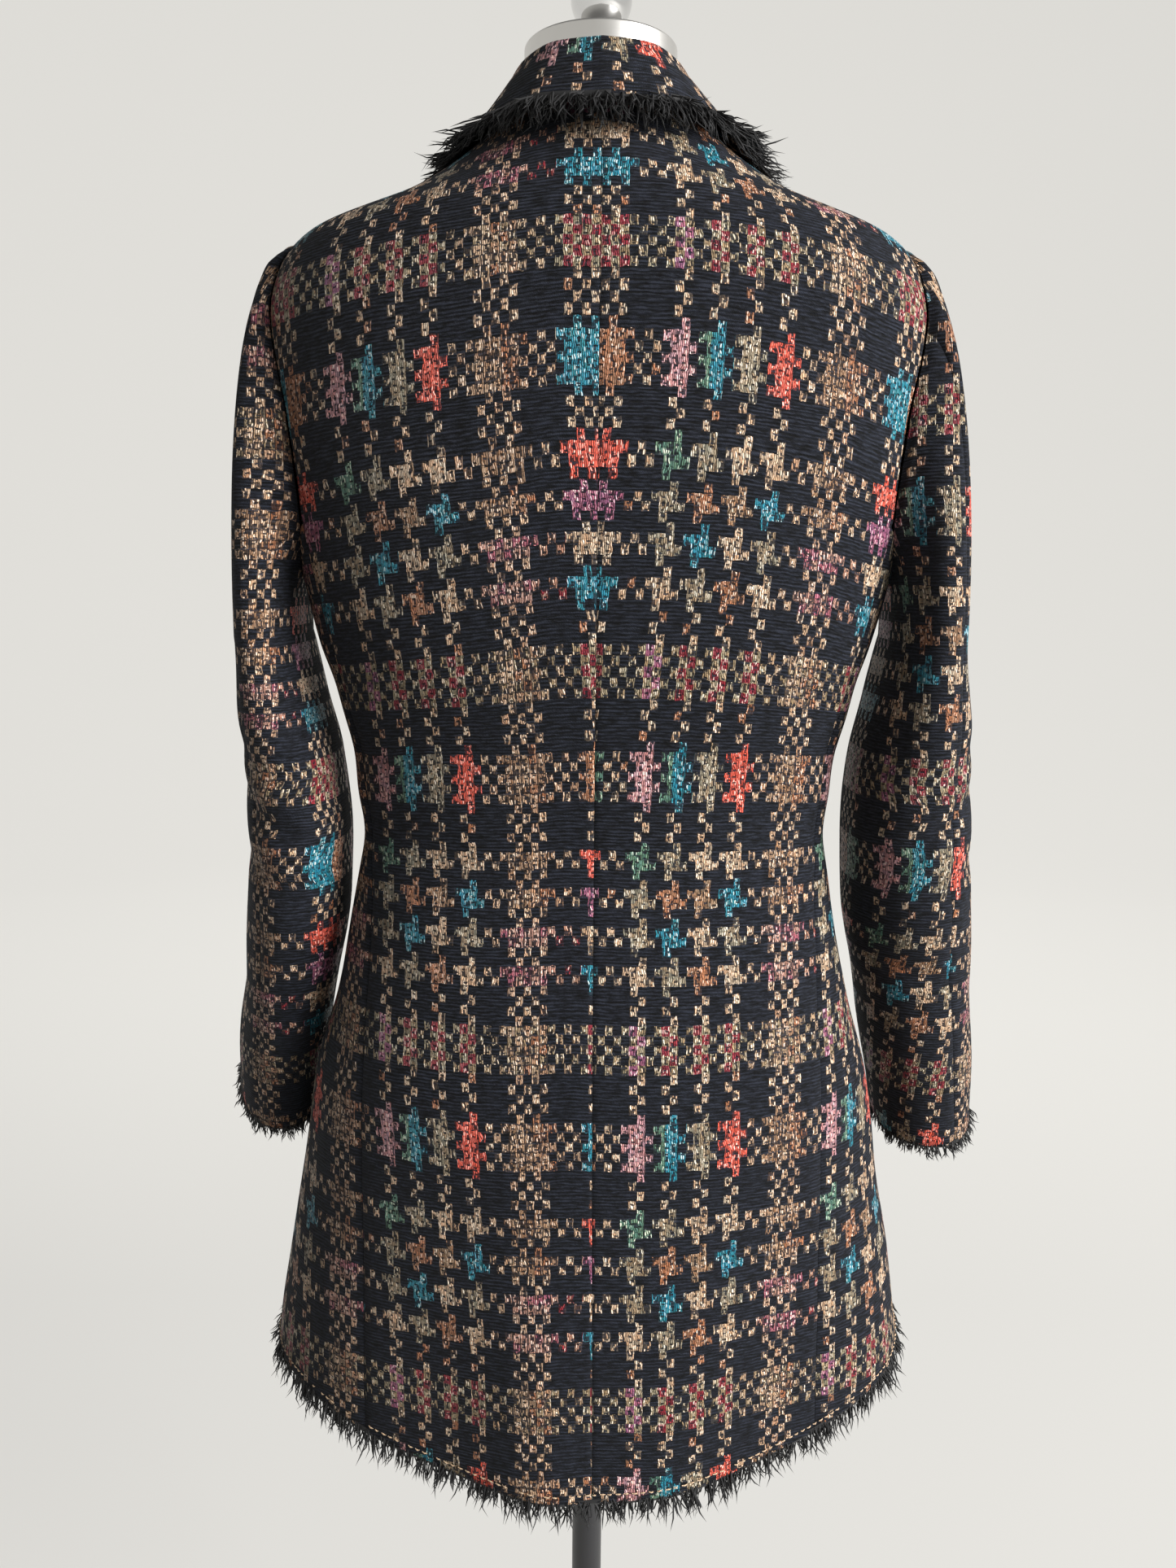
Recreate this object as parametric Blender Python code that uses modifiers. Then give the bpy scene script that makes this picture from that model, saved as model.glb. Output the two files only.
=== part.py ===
"""Plaid coat on a dress form stand.

Metres, +Z up. The coat's back faces -Y and its right sleeve is on +X. The base plate rests on z = 0.
"""
import math
import random
from collections import namedtuple
from functools import partial

import bmesh
import bpy
from mathutils import Vector

# Cloth
WALL = 0.002
SEAM = 0.0004
ARM_ROUND = 2.2
FORM_ROUND = 2.2
UNDERARM_Z = 1.165
SIDE_SEAM_TOP_Z = 1.200
SHOULDER_Z = 1.366
NAPE_Z = 1.430
FRONT_NECK_Z = 1.392
NECK_HALF = 0.062
HEM_Z = 0.604
HEM_RISE = 0.038
LAP = 0.018
LAP_LIFT = 0.0030

# Body of the coat, a row for each level section, hem to nape: inside half width, reach of the
# centre back behind the axis, reach of the centre front, y of the widest line, x of the long
# seams, roundness of the section, and its turn about the axis in degrees
Section = namedtuple("Section", "z half back front mid seam round turn")
BODY = [
    Section(0.590, 0.2210, 0.1410, 0.1400, 0.000, 0.1470, 1.90, 0.8),
    Section(0.636, 0.2185, 0.1380, 0.1385, 0.000, 0.1470, 1.92, 0.8),
    Section(0.700, 0.2095, 0.1330, 0.1350, 0.000, 0.1470, 2.00, 0.6),
    Section(0.760, 0.1990, 0.1270, 0.1300, 0.000, 0.1465, 2.10, 0.4),
    Section(0.833, 0.1890, 0.1200, 0.1220, 0.000, 0.1460, 2.20, 0.2),
    Section(0.886, 0.1740, 0.1060, 0.1130, 0.000, 0.1450, 2.25, 0.0),
    Section(0.943, 0.1620, 0.0860, 0.1020, 0.000, 0.1440, 2.30, 0.0),
    Section(1.000, 0.1530, 0.0720, 0.0950, 0.000, 0.1445, 2.30, 0.0),
    Section(1.053, 0.1585, 0.0750, 0.0990, 0.000, 0.1500, 2.30, 0.0),
    Section(1.097, 0.1690, 0.0850, 0.1080, 0.000, 0.1590, 2.30, 0.0),
    Section(1.126, 0.1780, 0.0920, 0.1150, 0.000, 0.1660, 2.30, 0.0),
    Section(1.165, 0.1870, 0.0980, 0.1210, 0.000, 0.1740, 2.30, 0.0),
    Section(1.200, 0.1930, 0.1010, 0.1210, 0.000, 0.1795, 2.30, 0.0),
    Section(1.260, 0.2030, 0.1040, 0.1150, 0.000, 0.1840, 2.30, 0.0),
    Section(1.320, 0.2085, 0.1040, 0.1020, -0.003, 0.1935, 2.15, 0.0),
    Section(1.345, 0.1990, 0.1020, 0.0920, -0.006, 0.1930, 1.95, 0.0),
    Section(1.366, 0.1800, 0.0980, 0.0830, -0.008, 0.1800, 1.80, 0.0),
    Section(1.390, 0.1165, 0.0910, 0.0740, -0.008, 0.1165, 1.75, 0.0),
    Section(1.413, 0.0795, 0.0800, 0.0690, -0.008, 0.0795, 1.75, 0.0),
    Section(1.430, 0.0620, 0.0660, 0.0680, -0.008, 0.0620, 1.80, 0.0),
]

# Armhole edge: x of the edge at each height
Edge = namedtuple("Edge", "z x")
ARMHOLE = [
    Edge(1.165, 0.1870),
    Edge(1.180, 0.1840),
    Edge(1.200, 0.1810),
    Edge(1.260, 0.1850),
    Edge(1.320, 0.1935),
    Edge(1.345, 0.1900),
    Edge(1.366, 0.1800),
]

# Soft flutes of the skirt: angle from the centre back in degrees, half breadth in degrees, depth
# at the hem, height where it fades
Flute = namedtuple("Flute", "angle breadth depth top")
FLUTES = [
    Flute(-150.0, 13.0, 0.0045, 0.86),
    Flute(-112.0, 14.0, 0.0040, 0.84),
    Flute(-70.0, 15.0, 0.0050, 0.88),
    Flute(-30.0, 12.0, -0.0040, 0.84),
    Flute(-9.0, 8.0, 0.0060, 0.86),
    Flute(13.0, 9.0, 0.0035, 0.80),
    Flute(34.0, 12.0, -0.0035, 0.82),
    Flute(66.0, 15.0, 0.0050, 0.86),
    Flute(104.0, 14.0, 0.0045, 0.84),
    Flute(146.0, 13.0, 0.0045, 0.86),
]

# Sleeves, a row for each level section below the underarm: centre, half sizes across and front to
# back, and turn of the section in degrees (minus brings the outer side back)
Arm = namedtuple("Arm", "z x y across deep turn")
ARM_RIGHT = [
    Arm(1.130, 0.2146, 0.002, 0.0205, 0.0620, 0.0),
    Arm(1.090, 0.2133, 0.004, 0.0281, 0.0630, 0.0),
    Arm(1.050, 0.2119, 0.008, 0.0360, 0.0620, 0.0),
    Arm(1.000, 0.2139, 0.013, 0.0399, 0.0600, -2.0),
    Arm(0.950, 0.2193, 0.022, 0.0412, 0.0580, -4.0),
    Arm(0.890, 0.2296, 0.036, 0.0396, 0.0570, -6.0),
    Arm(0.830, 0.2408, 0.050, 0.0368, 0.0560, -6.0),
    Arm(0.770, 0.2505, 0.062, 0.0348, 0.0550, -6.0),
]
ARM_LEFT = [
    Arm(1.130, 0.2108, 0.002, 0.0169, 0.0630, 0.0),
    Arm(1.090, 0.2071, 0.004, 0.0219, 0.0640, 0.0),
    Arm(1.050, 0.2020, 0.008, 0.0281, 0.0640, -2.0),
    Arm(1.000, 0.2012, 0.014, 0.0316, 0.0620, -5.0),
    Arm(0.950, 0.2061, 0.024, 0.0330, 0.0620, -9.0),
    Arm(0.890, 0.2163, 0.036, 0.0314, 0.0620, -13.0),
    Arm(0.830, 0.2286, 0.048, 0.0290, 0.0620, -17.0),
    Arm(0.770, 0.2381, 0.058, 0.0258, 0.0620, -20.0),
]
CUFF_TILT = 0.008
CUFF_Z = {"right": 0.775, "left": 0.790}
BACK_ARM_SEAM = {"right": 62.0, "left": 50.0}
FRONT_ARM_SEAM = 232.0
PUFF = 0.006

# Elbow creases: height, angle round the arm in degrees, drop along the crease, depth
Crease = namedtuple("Crease", "z angle slant depth")
CREASES = [
    Crease(1.052, 60.0, 0.020, 0.0030),
    Crease(1.012, 75.0, 0.026, 0.0045),
    Crease(0.972, 60.0, 0.020, 0.0035),
    Crease(0.905, 85.0, -0.018, 0.0025),
]

# Collar, a row for each station from the centre back to the front end: angle, point of the fold,
# point of the free edge
Fold = namedtuple("Fold", "angle fold_x fold_y fold_z edge_x edge_y edge_z")
COLLAR = [
    Fold(0.0, 0.0000, -0.0830, 1.4495, 0.0000, -0.1000, 1.4200),
    Fold(25.0, 0.0210, -0.0775, 1.4495, 0.0340, -0.0935, 1.4205),
    Fold(50.0, 0.0360, -0.0620, 1.4480, 0.0565, -0.0745, 1.4205),
    Fold(75.0, 0.0455, -0.0370, 1.4455, 0.0755, -0.0445, 1.4195),
    Fold(100.0, 0.0500, -0.0100, 1.4410, 0.0920, -0.0040, 1.4115),
    Fold(125.0, 0.0485, 0.0160, 1.4340, 0.0985, 0.0400, 1.3930),
    Fold(150.0, 0.0360, 0.0420, 1.4225, 0.0890, 0.0820, 1.3605),
    Fold(172.0, 0.0080, 0.0600, 1.4060, 0.0600, 0.1050, 1.3250),
]
FOLD_R = 0.003
COLLAR_CLEAR = 0.0055
STAND_LIFT = 0.0020
COLLAR_SHIFT = 0.0025
# The fall's bow from the fold to the edge, at the centre back and round the sides
FALL_BOW = (0.0015, -0.0030)
# Turn at which the neckline meets the centre front, just short of the lap
NECK_END = 177.5

# Fringe: lock length, lock breadth and number of locks, then the backing strip's height
Fringe = namedtuple("Fringe", "length breadth locks")
FRINGE_COLLAR = Fringe(0.020, 0.0044, 42)
FRINGE_HEM = Fringe(0.020, 0.0044, 92)
FRINGE_CUFF = Fringe(0.014, 0.0042, 20)
STRIP = 0.003
COLLAR_LOCK_HANG = 0.55
COLLAR_LOCK_CLEAR = 0.0065

# Buttons
BUTTON_R = 0.011
BUTTON_T = 0.0035
BUTTON_Z = [1.340, 1.210, 1.080, 0.950]

# Form and stand
FormRing = namedtuple("FormRing", "z half back front mid")
FORM = [
    FormRing(0.800, 0.1560, 0.0960, 0.0960, 0.000),
    FormRing(0.812, 0.1640, 0.1030, 0.1020, 0.000),
    FormRing(0.850, 0.1660, 0.1020, 0.1030, 0.000),
    FormRing(0.900, 0.1600, 0.0900, 0.0980, 0.000),
    FormRing(0.950, 0.1500, 0.0750, 0.0900, 0.000),
    FormRing(1.000, 0.1440, 0.0640, 0.0860, 0.000),
    FormRing(1.050, 0.1480, 0.0670, 0.0890, 0.000),
    FormRing(1.100, 0.1590, 0.0770, 0.0990, 0.000),
    FormRing(1.160, 0.1760, 0.0890, 0.1120, 0.000),
    FormRing(1.210, 0.1820, 0.0930, 0.1110, 0.000),
    FormRing(1.260, 0.1840, 0.0950, 0.1040, 0.000),
    FormRing(1.310, 0.1850, 0.0950, 0.0930, -0.003),
    FormRing(1.342, 0.1925, 0.0985, 0.0875, -0.006),
    FormRing(1.358, 0.1800, 0.0957, 0.0815, -0.008),
    FormRing(1.376, 0.1385, 0.0897, 0.0745, -0.008),
    FormRing(1.396, 0.0925, 0.0775, 0.0660, -0.008),
    FormRing(1.413, 0.0640, 0.0580, 0.0560, -0.006),
    FormRing(1.428, 0.0500, 0.0480, 0.0500, -0.003),
    FormRing(1.440, 0.0455, 0.0455, 0.0470, 0.000),
    FormRing(1.449, 0.0450, 0.0450, 0.0450, 0.000),
]
PLATE_R = 0.0462
PLATE_Z = (1.4494, 1.4805)
KNOB_R = 0.0185
KNOB_Z = 1.5085
FLANGE_R = 0.0120
POLE_R = 0.0110
BASE_R = 0.1750
BASE_T = 0.0100


def clear_startup():
    for thing in list(bpy.data.objects):
        bpy.data.objects.remove(thing, do_unlink=True)


def blend(low, high, value):
    share = min(1.0, max(0.0, (value - low) / (high - low)))
    return share * share * (3.0 - 2.0 * share)


def mix(a, b, share):
    return a + (b - a) * share


def column(table, at, key, name):
    """Smooth value of a table's column: cubic between rows, held beyond them."""
    rows = sorted(table, key=lambda row: getattr(row, key))
    keys = [getattr(row, key) for row in rows]
    vals = [getattr(row, name) for row in rows]
    if at <= keys[0]:
        return vals[0]
    if at >= keys[-1]:
        return vals[-1]
    i = max(j for j in range(len(keys) - 1) if keys[j] <= at)
    span = keys[i + 1] - keys[i]
    rise = (vals[i + 1] - vals[i]) / span
    before = (vals[i] - vals[i - 1]) / (keys[i] - keys[i - 1]) if i else rise
    after = rise
    if i + 2 < len(keys):
        after = (vals[i + 2] - vals[i + 1]) / (keys[i + 2] - keys[i + 1])
    m0 = 0.0 if before * rise <= 0.0 else 2.0 * before * rise / (before + rise)
    m1 = 0.0 if after * rise <= 0.0 else 2.0 * after * rise / (after + rise)
    if not i:
        m0 = rise
    if i + 2 >= len(keys):
        m1 = rise
    t = (at - keys[i]) / span
    a = (2 * t * t * t - 3 * t * t + 1) * vals[i] + (t * t * t - 2 * t * t + t) * span * m0
    b = (3 * t * t - 2 * t * t * t) * vals[i + 1] + (t * t * t - t * t) * span * m1
    return a + b


def body(name, z):
    return column(BODY, z, "z", name)


def shoulder_z(x):
    """Height of the shoulder line at x, where the section is just as wide as x."""
    low, high = SHOULDER_Z, NAPE_Z
    for _ in range(40):
        half = (low + high) / 2.0
        if body("half", half) > x:
            low = half
        else:
            high = half
    return low


def angle_at(x, z):
    """Angle from the centre back at which the section at z reaches x."""
    share = min(1.0, abs(x) / body("half", z))
    return math.copysign(math.asin(share ** (body("round", z) / 2.0)), x)


def armhole_x(z):
    return column(ARMHOLE, z, "z", "x")


def flutes(angle, z):
    """Outward depth of the skirt's soft flutes."""
    total = 0.0
    for row in FLUTES:
        off = math.degrees(angle) - row.angle
        off = (off + 180.0) % 360.0 - 180.0
        fade = blend(row.top, HEM_Z, z)
        total += row.depth * fade * math.exp(-((off / row.breadth) ** 2))
    return total


def bare_body(angle, z):
    """Point of the coat's inside surface before flutes and turn."""
    half, back, front = body("half", z), body("back", z), body("front", z)
    x = math.copysign(half * abs(math.sin(angle)) ** (2.0 / body("round", z)), math.sin(angle))
    reach = back if math.cos(angle) > 0.0 else front
    return Vector((x, body("mid", z) - reach * math.cos(angle), z))


def outward(angle, z):
    """Unit normal of the bare surface, found from close neighbours."""
    da, dz = 0.01, 0.002
    across = bare_body(angle + da, z) - bare_body(angle - da, z)
    along = bare_body(angle, z + dz) - bare_body(angle, z - dz)
    normal = across.cross(along)
    centre = Vector((0.0, body("mid", z), z))
    if normal.dot(bare_body(angle, z) - centre) < 0.0:
        normal.negate()
    return normal.normalized()


def on_body(angle, z, out=0.0):
    """Point of the coat's inside surface, moved out by the given amount."""
    lift = out + flutes(angle, z)
    point = bare_body(angle, z)
    if lift:
        point += outward(angle, z) * lift
    turn = math.radians(body("turn", z))
    c, s = math.cos(turn), math.sin(turn)
    return Vector((point.x * c - point.y * s, point.x * s + point.y * c, point.z))


def hem_drop(angle, z):
    """Height of a level line after the hem's rise from the centre back and front to the sides."""
    return z + HEM_RISE * math.sin(angle) ** 2 * blend(0.84, HEM_Z, z)


def new_object(name, verts, faces, material):
    mesh = bpy.data.meshes.new(name)
    mesh.from_pydata([tuple(v) for v in verts], [], faces)
    mesh.validate()
    obj = bpy.data.objects.new(name, mesh)
    bpy.context.scene.collection.objects.link(obj)
    mesh.materials.append(material)
    return obj


def face_outward(obj, flip_to):
    """Makes all faces agree, the first one looking away from the given point."""
    bm = bmesh.new()
    bm.from_mesh(obj.data)
    bmesh.ops.recalc_face_normals(bm, faces=bm.faces)
    bm.faces.ensure_lookup_table()
    votes = sum(1 if f.normal.dot(f.calc_center_median() - flip_to(f)) > 0 else -1 for f in bm.faces)
    if votes < 0:
        bmesh.ops.reverse_faces(bm, faces=bm.faces)
    bm.to_mesh(obj.data)
    bm.free()


def axis_point(face):
    return Vector((0.0, 0.0, face.calc_center_median().z))


def cloth(name, grid, material, away_from=axis_point):
    """Open sheet from rows of points, thickened outward with Solidify."""
    wide = len(grid[0])
    verts = [p for row in grid for p in row]
    faces = []
    for r in range(len(grid) - 1):
        for c in range(wide - 1):
            a = r * wide + c
            faces.append((a, a + 1, a + 1 + wide, a + wide))
    obj = new_object(name, verts, faces, material)
    face_outward(obj, away_from)
    wall = obj.modifiers.new("wall", "SOLIDIFY")
    wall.thickness = WALL
    wall.offset = 1.0
    wall.use_even_offset = False
    wall.use_rim = True
    return obj


def paint(name, colour, rough, metal=0.0):
    material = bpy.data.materials.new(name)
    material.use_nodes = True
    shader = material.node_tree.nodes["Principled BSDF"]
    shader.inputs["Base Color"].default_value = (*colour, 1.0)
    shader.inputs["Roughness"].default_value = rough
    shader.inputs["Metallic"].default_value = metal
    return material


LOW_ROWS = [0.0, 0.05, 0.12, 0.19, 0.26, 0.33, 0.40, 0.47, 0.54, 0.60, 0.66, 0.72, 0.78, 0.84, 0.90]
LOW_ROWS += [0.95, 1.0]
TOP_ROWS = [0.12, 0.25, 0.38, 0.51, 0.63, 0.74, 0.83, 0.90, 0.95, 0.98, 1.0]
BACK_COLUMNS = [0.0, 0.020, 0.037, 0.051, 0.062, 0.085, 0.109, 0.132, 0.153, 0.169, 0.180]
FRONT_COLUMNS = [-0.018, 0.004, 0.023, 0.039, 0.053, 0.062, 0.088, 0.116, 0.142, 0.164, 0.180]


def shares_of(columns):
    """Shares across a panel from the x of its columns on the neck and shoulder line."""
    first, last = columns[0], columns[-1]
    return [(x - first) / (last - first) for x in columns]


def seam_x(z):
    return body("seam", z)


def neck_top(x, front):
    """Height of the panel's top line at x: neckline, then the shoulder line."""
    if x >= NECK_HALF:
        return shoulder_z(x)
    if not front:
        return NAPE_Z
    share = max(0.0, x) / NECK_HALF
    return mix(FRONT_NECK_Z, NAPE_Z, 1.0 - math.sqrt(max(0.0, 1.0 - share ** 2.4)))


def lap_lift(x, side, front):
    if not front or side < 0:
        return 0.0
    return LAP_LIFT * blend(0.050, 0.026, x)


def panel(side, front, shares):
    """Back or front panel: rows up to the side seam's top, then rows up to the shoulder."""
    start = SEAM / 2.0
    if front:
        start = -LAP
    grid = []
    for share in LOW_ROWS:
        z_row = mix(HEM_Z, SIDE_SEAM_TOP_Z, share)
        row = []
        for part in shares:
            x = mix(start, seam_x(z_row) - SEAM, part)
            angle = angle_at(x, z_row)
            if front:
                angle = math.pi - angle
            z = hem_drop(side * angle, z_row)
            row.append(on_body(side * angle, z, lap_lift(x, side, front)))
        grid.append(row)
    for share in TOP_ROWS:
        z_edge = mix(SIDE_SEAM_TOP_Z, SHOULDER_Z, share)
        row = []
        for part in shares:
            x = mix(start, armhole_x(z_edge) - SEAM, part)
            x_top = mix(start, armhole_x(SHOULDER_Z) - SEAM, part)
            z = mix(SIDE_SEAM_TOP_Z, neck_top(x_top, front), share)
            angle = angle_at(x, z)
            reach = body("front", z) if front else body("back", z)
            angle = min(angle, math.acos(SEAM / reach))
            if front:
                angle = math.pi - angle
            row.append(on_body(side * angle, z, lap_lift(x, side, front)))
        grid.append(row)
    return grid


def side_panel(side, columns=6):
    """Panel under the arm, between the two long seams, with the armhole's foot as its top."""
    grid = []
    foot = []
    for c in range(columns + 1):
        z = SIDE_SEAM_TOP_Z - (SIDE_SEAM_TOP_Z - UNDERARM_Z) * (1.0 - (2.0 * c / columns - 1.0) ** 2)
        edge = angle_at(armhole_x(z), z)
        foot.append(edge if 2 * c < columns else math.pi - edge)
    for share in LOW_ROWS:
        z_row = mix(HEM_Z, SIDE_SEAM_TOP_Z, share)
        dip = (SIDE_SEAM_TOP_Z - UNDERARM_Z) * blend(0.66, 1.0, share)
        row = []
        for c in range(columns + 1):
            part = c / columns
            z = z_row - dip * (1.0 - (2.0 * part - 1.0) ** 2)
            near = angle_at(seam_x(z_row) + SEAM, z_row)
            plain = mix(near, math.pi - near, part)
            angle = plain
            if 0 < c < columns:
                angle = mix(plain, foot[c], blend(0.72, 1.0, share))
            z = hem_drop(side * angle, z)
            row.append(on_body(side * angle, z))
        grid.append(row)
    return grid


def armhole_point(turn, side):
    """Point of the armhole's edge: turn 0 at the shoulder, 90 behind, 180 at the underarm."""
    t = math.radians(turn)
    middle = (SHOULDER_Z + UNDERARM_Z) / 2.0
    tall = (SHOULDER_Z - UNDERARM_Z) / 2.0
    z = middle + tall * math.cos(t)
    x = armhole_x(z)
    angle = angle_at(x, z)
    if math.sin(t) < 0.0:
        angle = math.pi - angle
    point = bare_body(angle, z)
    point.x += 3.0 * SEAM + WALL * max(0.0, outward(angle, z).x)
    return Vector((side * point.x, point.y, point.z))


def arm_ring(table, z, turn, side):
    """Point of a level sleeve section: turn 0 outside, 90 behind, 180 inside."""
    t = math.radians(turn)
    across, deep = column(table, z, "z", "across"), column(table, z, "z", "deep")
    px = across * math.copysign(abs(math.cos(t)) ** (2.0 / ARM_ROUND), math.cos(t))
    py = -deep * math.copysign(abs(math.sin(t)) ** (2.0 / ARM_ROUND), math.sin(t))
    a = math.radians(column(table, z, "z", "turn"))
    x = column(table, z, "z", "x") + px * math.cos(a) - py * math.sin(a)
    y = column(table, z, "z", "y") + px * math.sin(a) + py * math.cos(a)
    return Vector((side * x, y, z))


def crease_depth(z, turn):
    total = 0.0
    for row in CREASES:
        off = (turn - row.angle + 180.0) % 360.0 - 180.0
        line = row.z - row.slant * off / 60.0
        total -= row.depth * math.exp(-((z - line) / 0.011) ** 2) * math.exp(-((off / 50.0) ** 2))
    return total


def sleeve_point(name, level, turn):
    """Point of the sleeve's inside: level 0 to 1 is the cap, 1 to 2 the tube down to the cuff."""
    side = 1.0 if name == "right" else -1.0
    table = ARM_RIGHT if name == "right" else ARM_LEFT
    top = table[0].z
    t = math.radians(turn)
    if level <= 1.0:
        start = armhole_point(turn, side)
        end = arm_ring(table, top, turn, side)
        long = (end - start).length
        up = max(0.0, math.cos(t))
        low = max(0.0, -math.cos(t))
        lead = Vector((side, -0.25 * math.sin(t), -0.30 * up - 0.45 * (1.0 - up) * (1.0 - low)))
        lead = lead.normalized() * long * (0.45 + 0.30 * low)
        fall = Vector((0.0, 0.0, -1.0)) * long * (1.25 - 0.25 * low)
        v = level
        a = start * (2 * v ** 3 - 3 * v ** 2 + 1) + lead * (v ** 3 - 2 * v ** 2 + v)
        b = end * (3 * v ** 2 - 2 * v ** 3) + fall * (v ** 3 - v ** 2)
        puff = PUFF * up ** 2 * math.sin(math.pi * min(1.0, v * 2.4)) * (1.0 if v < 0.42 else 0.0)
        return a + b + Vector((0.0, 0.0, puff))
    z = mix(top, CUFF_Z[name] - CUFF_TILT * math.sin(t), level - 1.0)
    point = arm_ring(table, z, turn, side)
    return point + (point - arm_centre(name, z)).normalized() * crease_depth(z, turn)


CAP_ROWS = [0.0, 0.04, 0.10, 0.18, 0.30, 0.44, 0.60, 0.78]
ARM_ROWS = [1.0, 1.08, 1.16, 1.24, 1.31, 1.38, 1.45, 1.52, 1.60, 1.70, 1.80, 1.90, 2.0]


def sleeve_grid(name, first, last, columns):
    gap = 0.25
    grid = []
    for level in CAP_ROWS + ARM_ROWS:
        row = []
        for c in range(columns + 1):
            turn = mix(first + gap, last - gap, c / columns)
            row.append(sleeve_point(name, level, turn))
        grid.append(row)
    return grid


def arm_centre(name, z):
    """Centre of a sleeve's section at the given height."""
    side = 1.0 if name == "right" else -1.0
    table = ARM_RIGHT if name == "right" else ARM_LEFT
    return Vector((side * column(table, z, "z", "x"), column(table, z, "z", "y"), z))


def arm_axis(name):
    """Function that gives the point within the sleeve beside a face."""
    def centre(face):
        z = face.calc_center_median().z
        point = arm_centre(name, z)
        point.x = math.copysign(mix(abs(point.x), 0.19, blend(1.13, 1.33, z)), point.x)
        point.z = min(z, 1.30)
        return point

    return centre


def neck_ring(angle):
    """Neckline of the coat's inside, from the centre back round to the centre front."""
    a = abs(angle)
    x = NECK_HALF * math.sin(a) ** (2.0 / body("round", NAPE_Z))
    if a <= math.pi / 2.0:
        z = NAPE_Z
        y = body("mid", z) - body("back", z) * math.cos(a)
        return Vector((math.copysign(x, angle), y, z))
    z = neck_top(x, True)
    y = bare_body(math.pi - angle_at(x, z), z).y
    return Vector((math.copysign(x, angle), y, z))


def body_level(point):
    """Signed measure of a point against the coat's section at its height, zero on the surface."""
    z = min(point.z, NAPE_Z)
    half, mid = body("half", z), body("mid", z)
    reach = body("back", z) if point.y < mid else body("front", z)
    return (abs(point.x) / half) ** body("round", z) + ((point.y - mid) / reach) ** 2 - 1.0


def push_clear(point, clear):
    """Moves a point out of the coat's body until it is clear of the inside surface."""
    p = point.copy()
    for _ in range(12):
        if p.z >= NAPE_Z + clear:
            break
        step = 0.0005
        here = body_level(p)
        slope = Vector((0.0, 0.0, 0.0))
        for axis in range(3):
            q = p.copy()
            q[axis] += step
            slope[axis] = (body_level(q) - here) / step
        if abs(p.x) < 1e-6:
            slope.x = 0.0
        steep = max(1.0, slope.length)
        short = clear - here / steep
        if short <= 0.0001:
            break
        p += slope.normalized() * min(short, 0.004)
    return p


def collar_section(angle_deg):
    """Points of the collar's inside from the neck seam over the fold to the free edge."""
    side = 1.0 if angle_deg >= 0.0 else -1.0
    at = abs(angle_deg)
    fold = Vector([column(COLLAR, at, "angle", "fold_" + k) for k in "xyz"])
    edge = Vector([column(COLLAR, at, "angle", "edge_" + k) for k in "xyz"])
    share = at / COLLAR[-1].angle
    seam = neck_ring(math.radians(share * NECK_END))
    edge.x += side * COLLAR_SHIFT * blend(0.0, 30.0, 172.0 - at)
    flat = Vector((edge.x - fold.x, edge.y - fold.y, 0.0)).normalized()
    rise = (fold - seam).normalized()
    lean = outward(max(0.01, angle_at(seam.x, min(seam.z, NAPE_Z - 0.003))), NAPE_Z - 0.003)
    start = WALL * max(0.4, lean.dot(rise)) + 4.0 * SEAM + STAND_LIFT * blend(60.0, 100.0, at)
    points = [seam + rise * start]
    points.append(seam.lerp(fold, 0.38) + flat * 0.0010)
    points.append(seam.lerp(fold, 0.72) + flat * 0.0006)
    for turn in (0.0, 45.0, 90.0, 135.0, 180.0):
        t = math.radians(turn)
        over = flat * (FOLD_R - FOLD_R * math.cos(t)) + Vector((0, 0, FOLD_R * math.sin(t)))
        points.append(fold + over)
    outer = fold + flat * 2.0 * FOLD_R
    bow = mix(*FALL_BOW, blend(50.0, 90.0, at))
    bend = outer.lerp(edge, 0.45) + Vector((0.0, 0.0, bow))
    for part in (0.22, 0.45, 0.70, 1.0):
        a = outer.lerp(bend, part)
        b = bend.lerp(edge, part)
        points.append(push_clear(a.lerp(b, part), COLLAR_CLEAR))
    return [Vector((side * p.x, p.y, p.z)) for p in points]


def collar_grid(columns=26):
    end = COLLAR[-1].angle
    sections = [collar_section(mix(-end, end, c / columns)) for c in range(columns + 1)]
    return [[sections[c][r] for c in range(columns + 1)] for r in range(len(sections[0]))]


def collar_inside(face):
    """A point on the side that the collar's inner skin looks to."""
    return Vector((0.0, 0.0, face.calc_center_median().z - 0.06))


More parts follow.
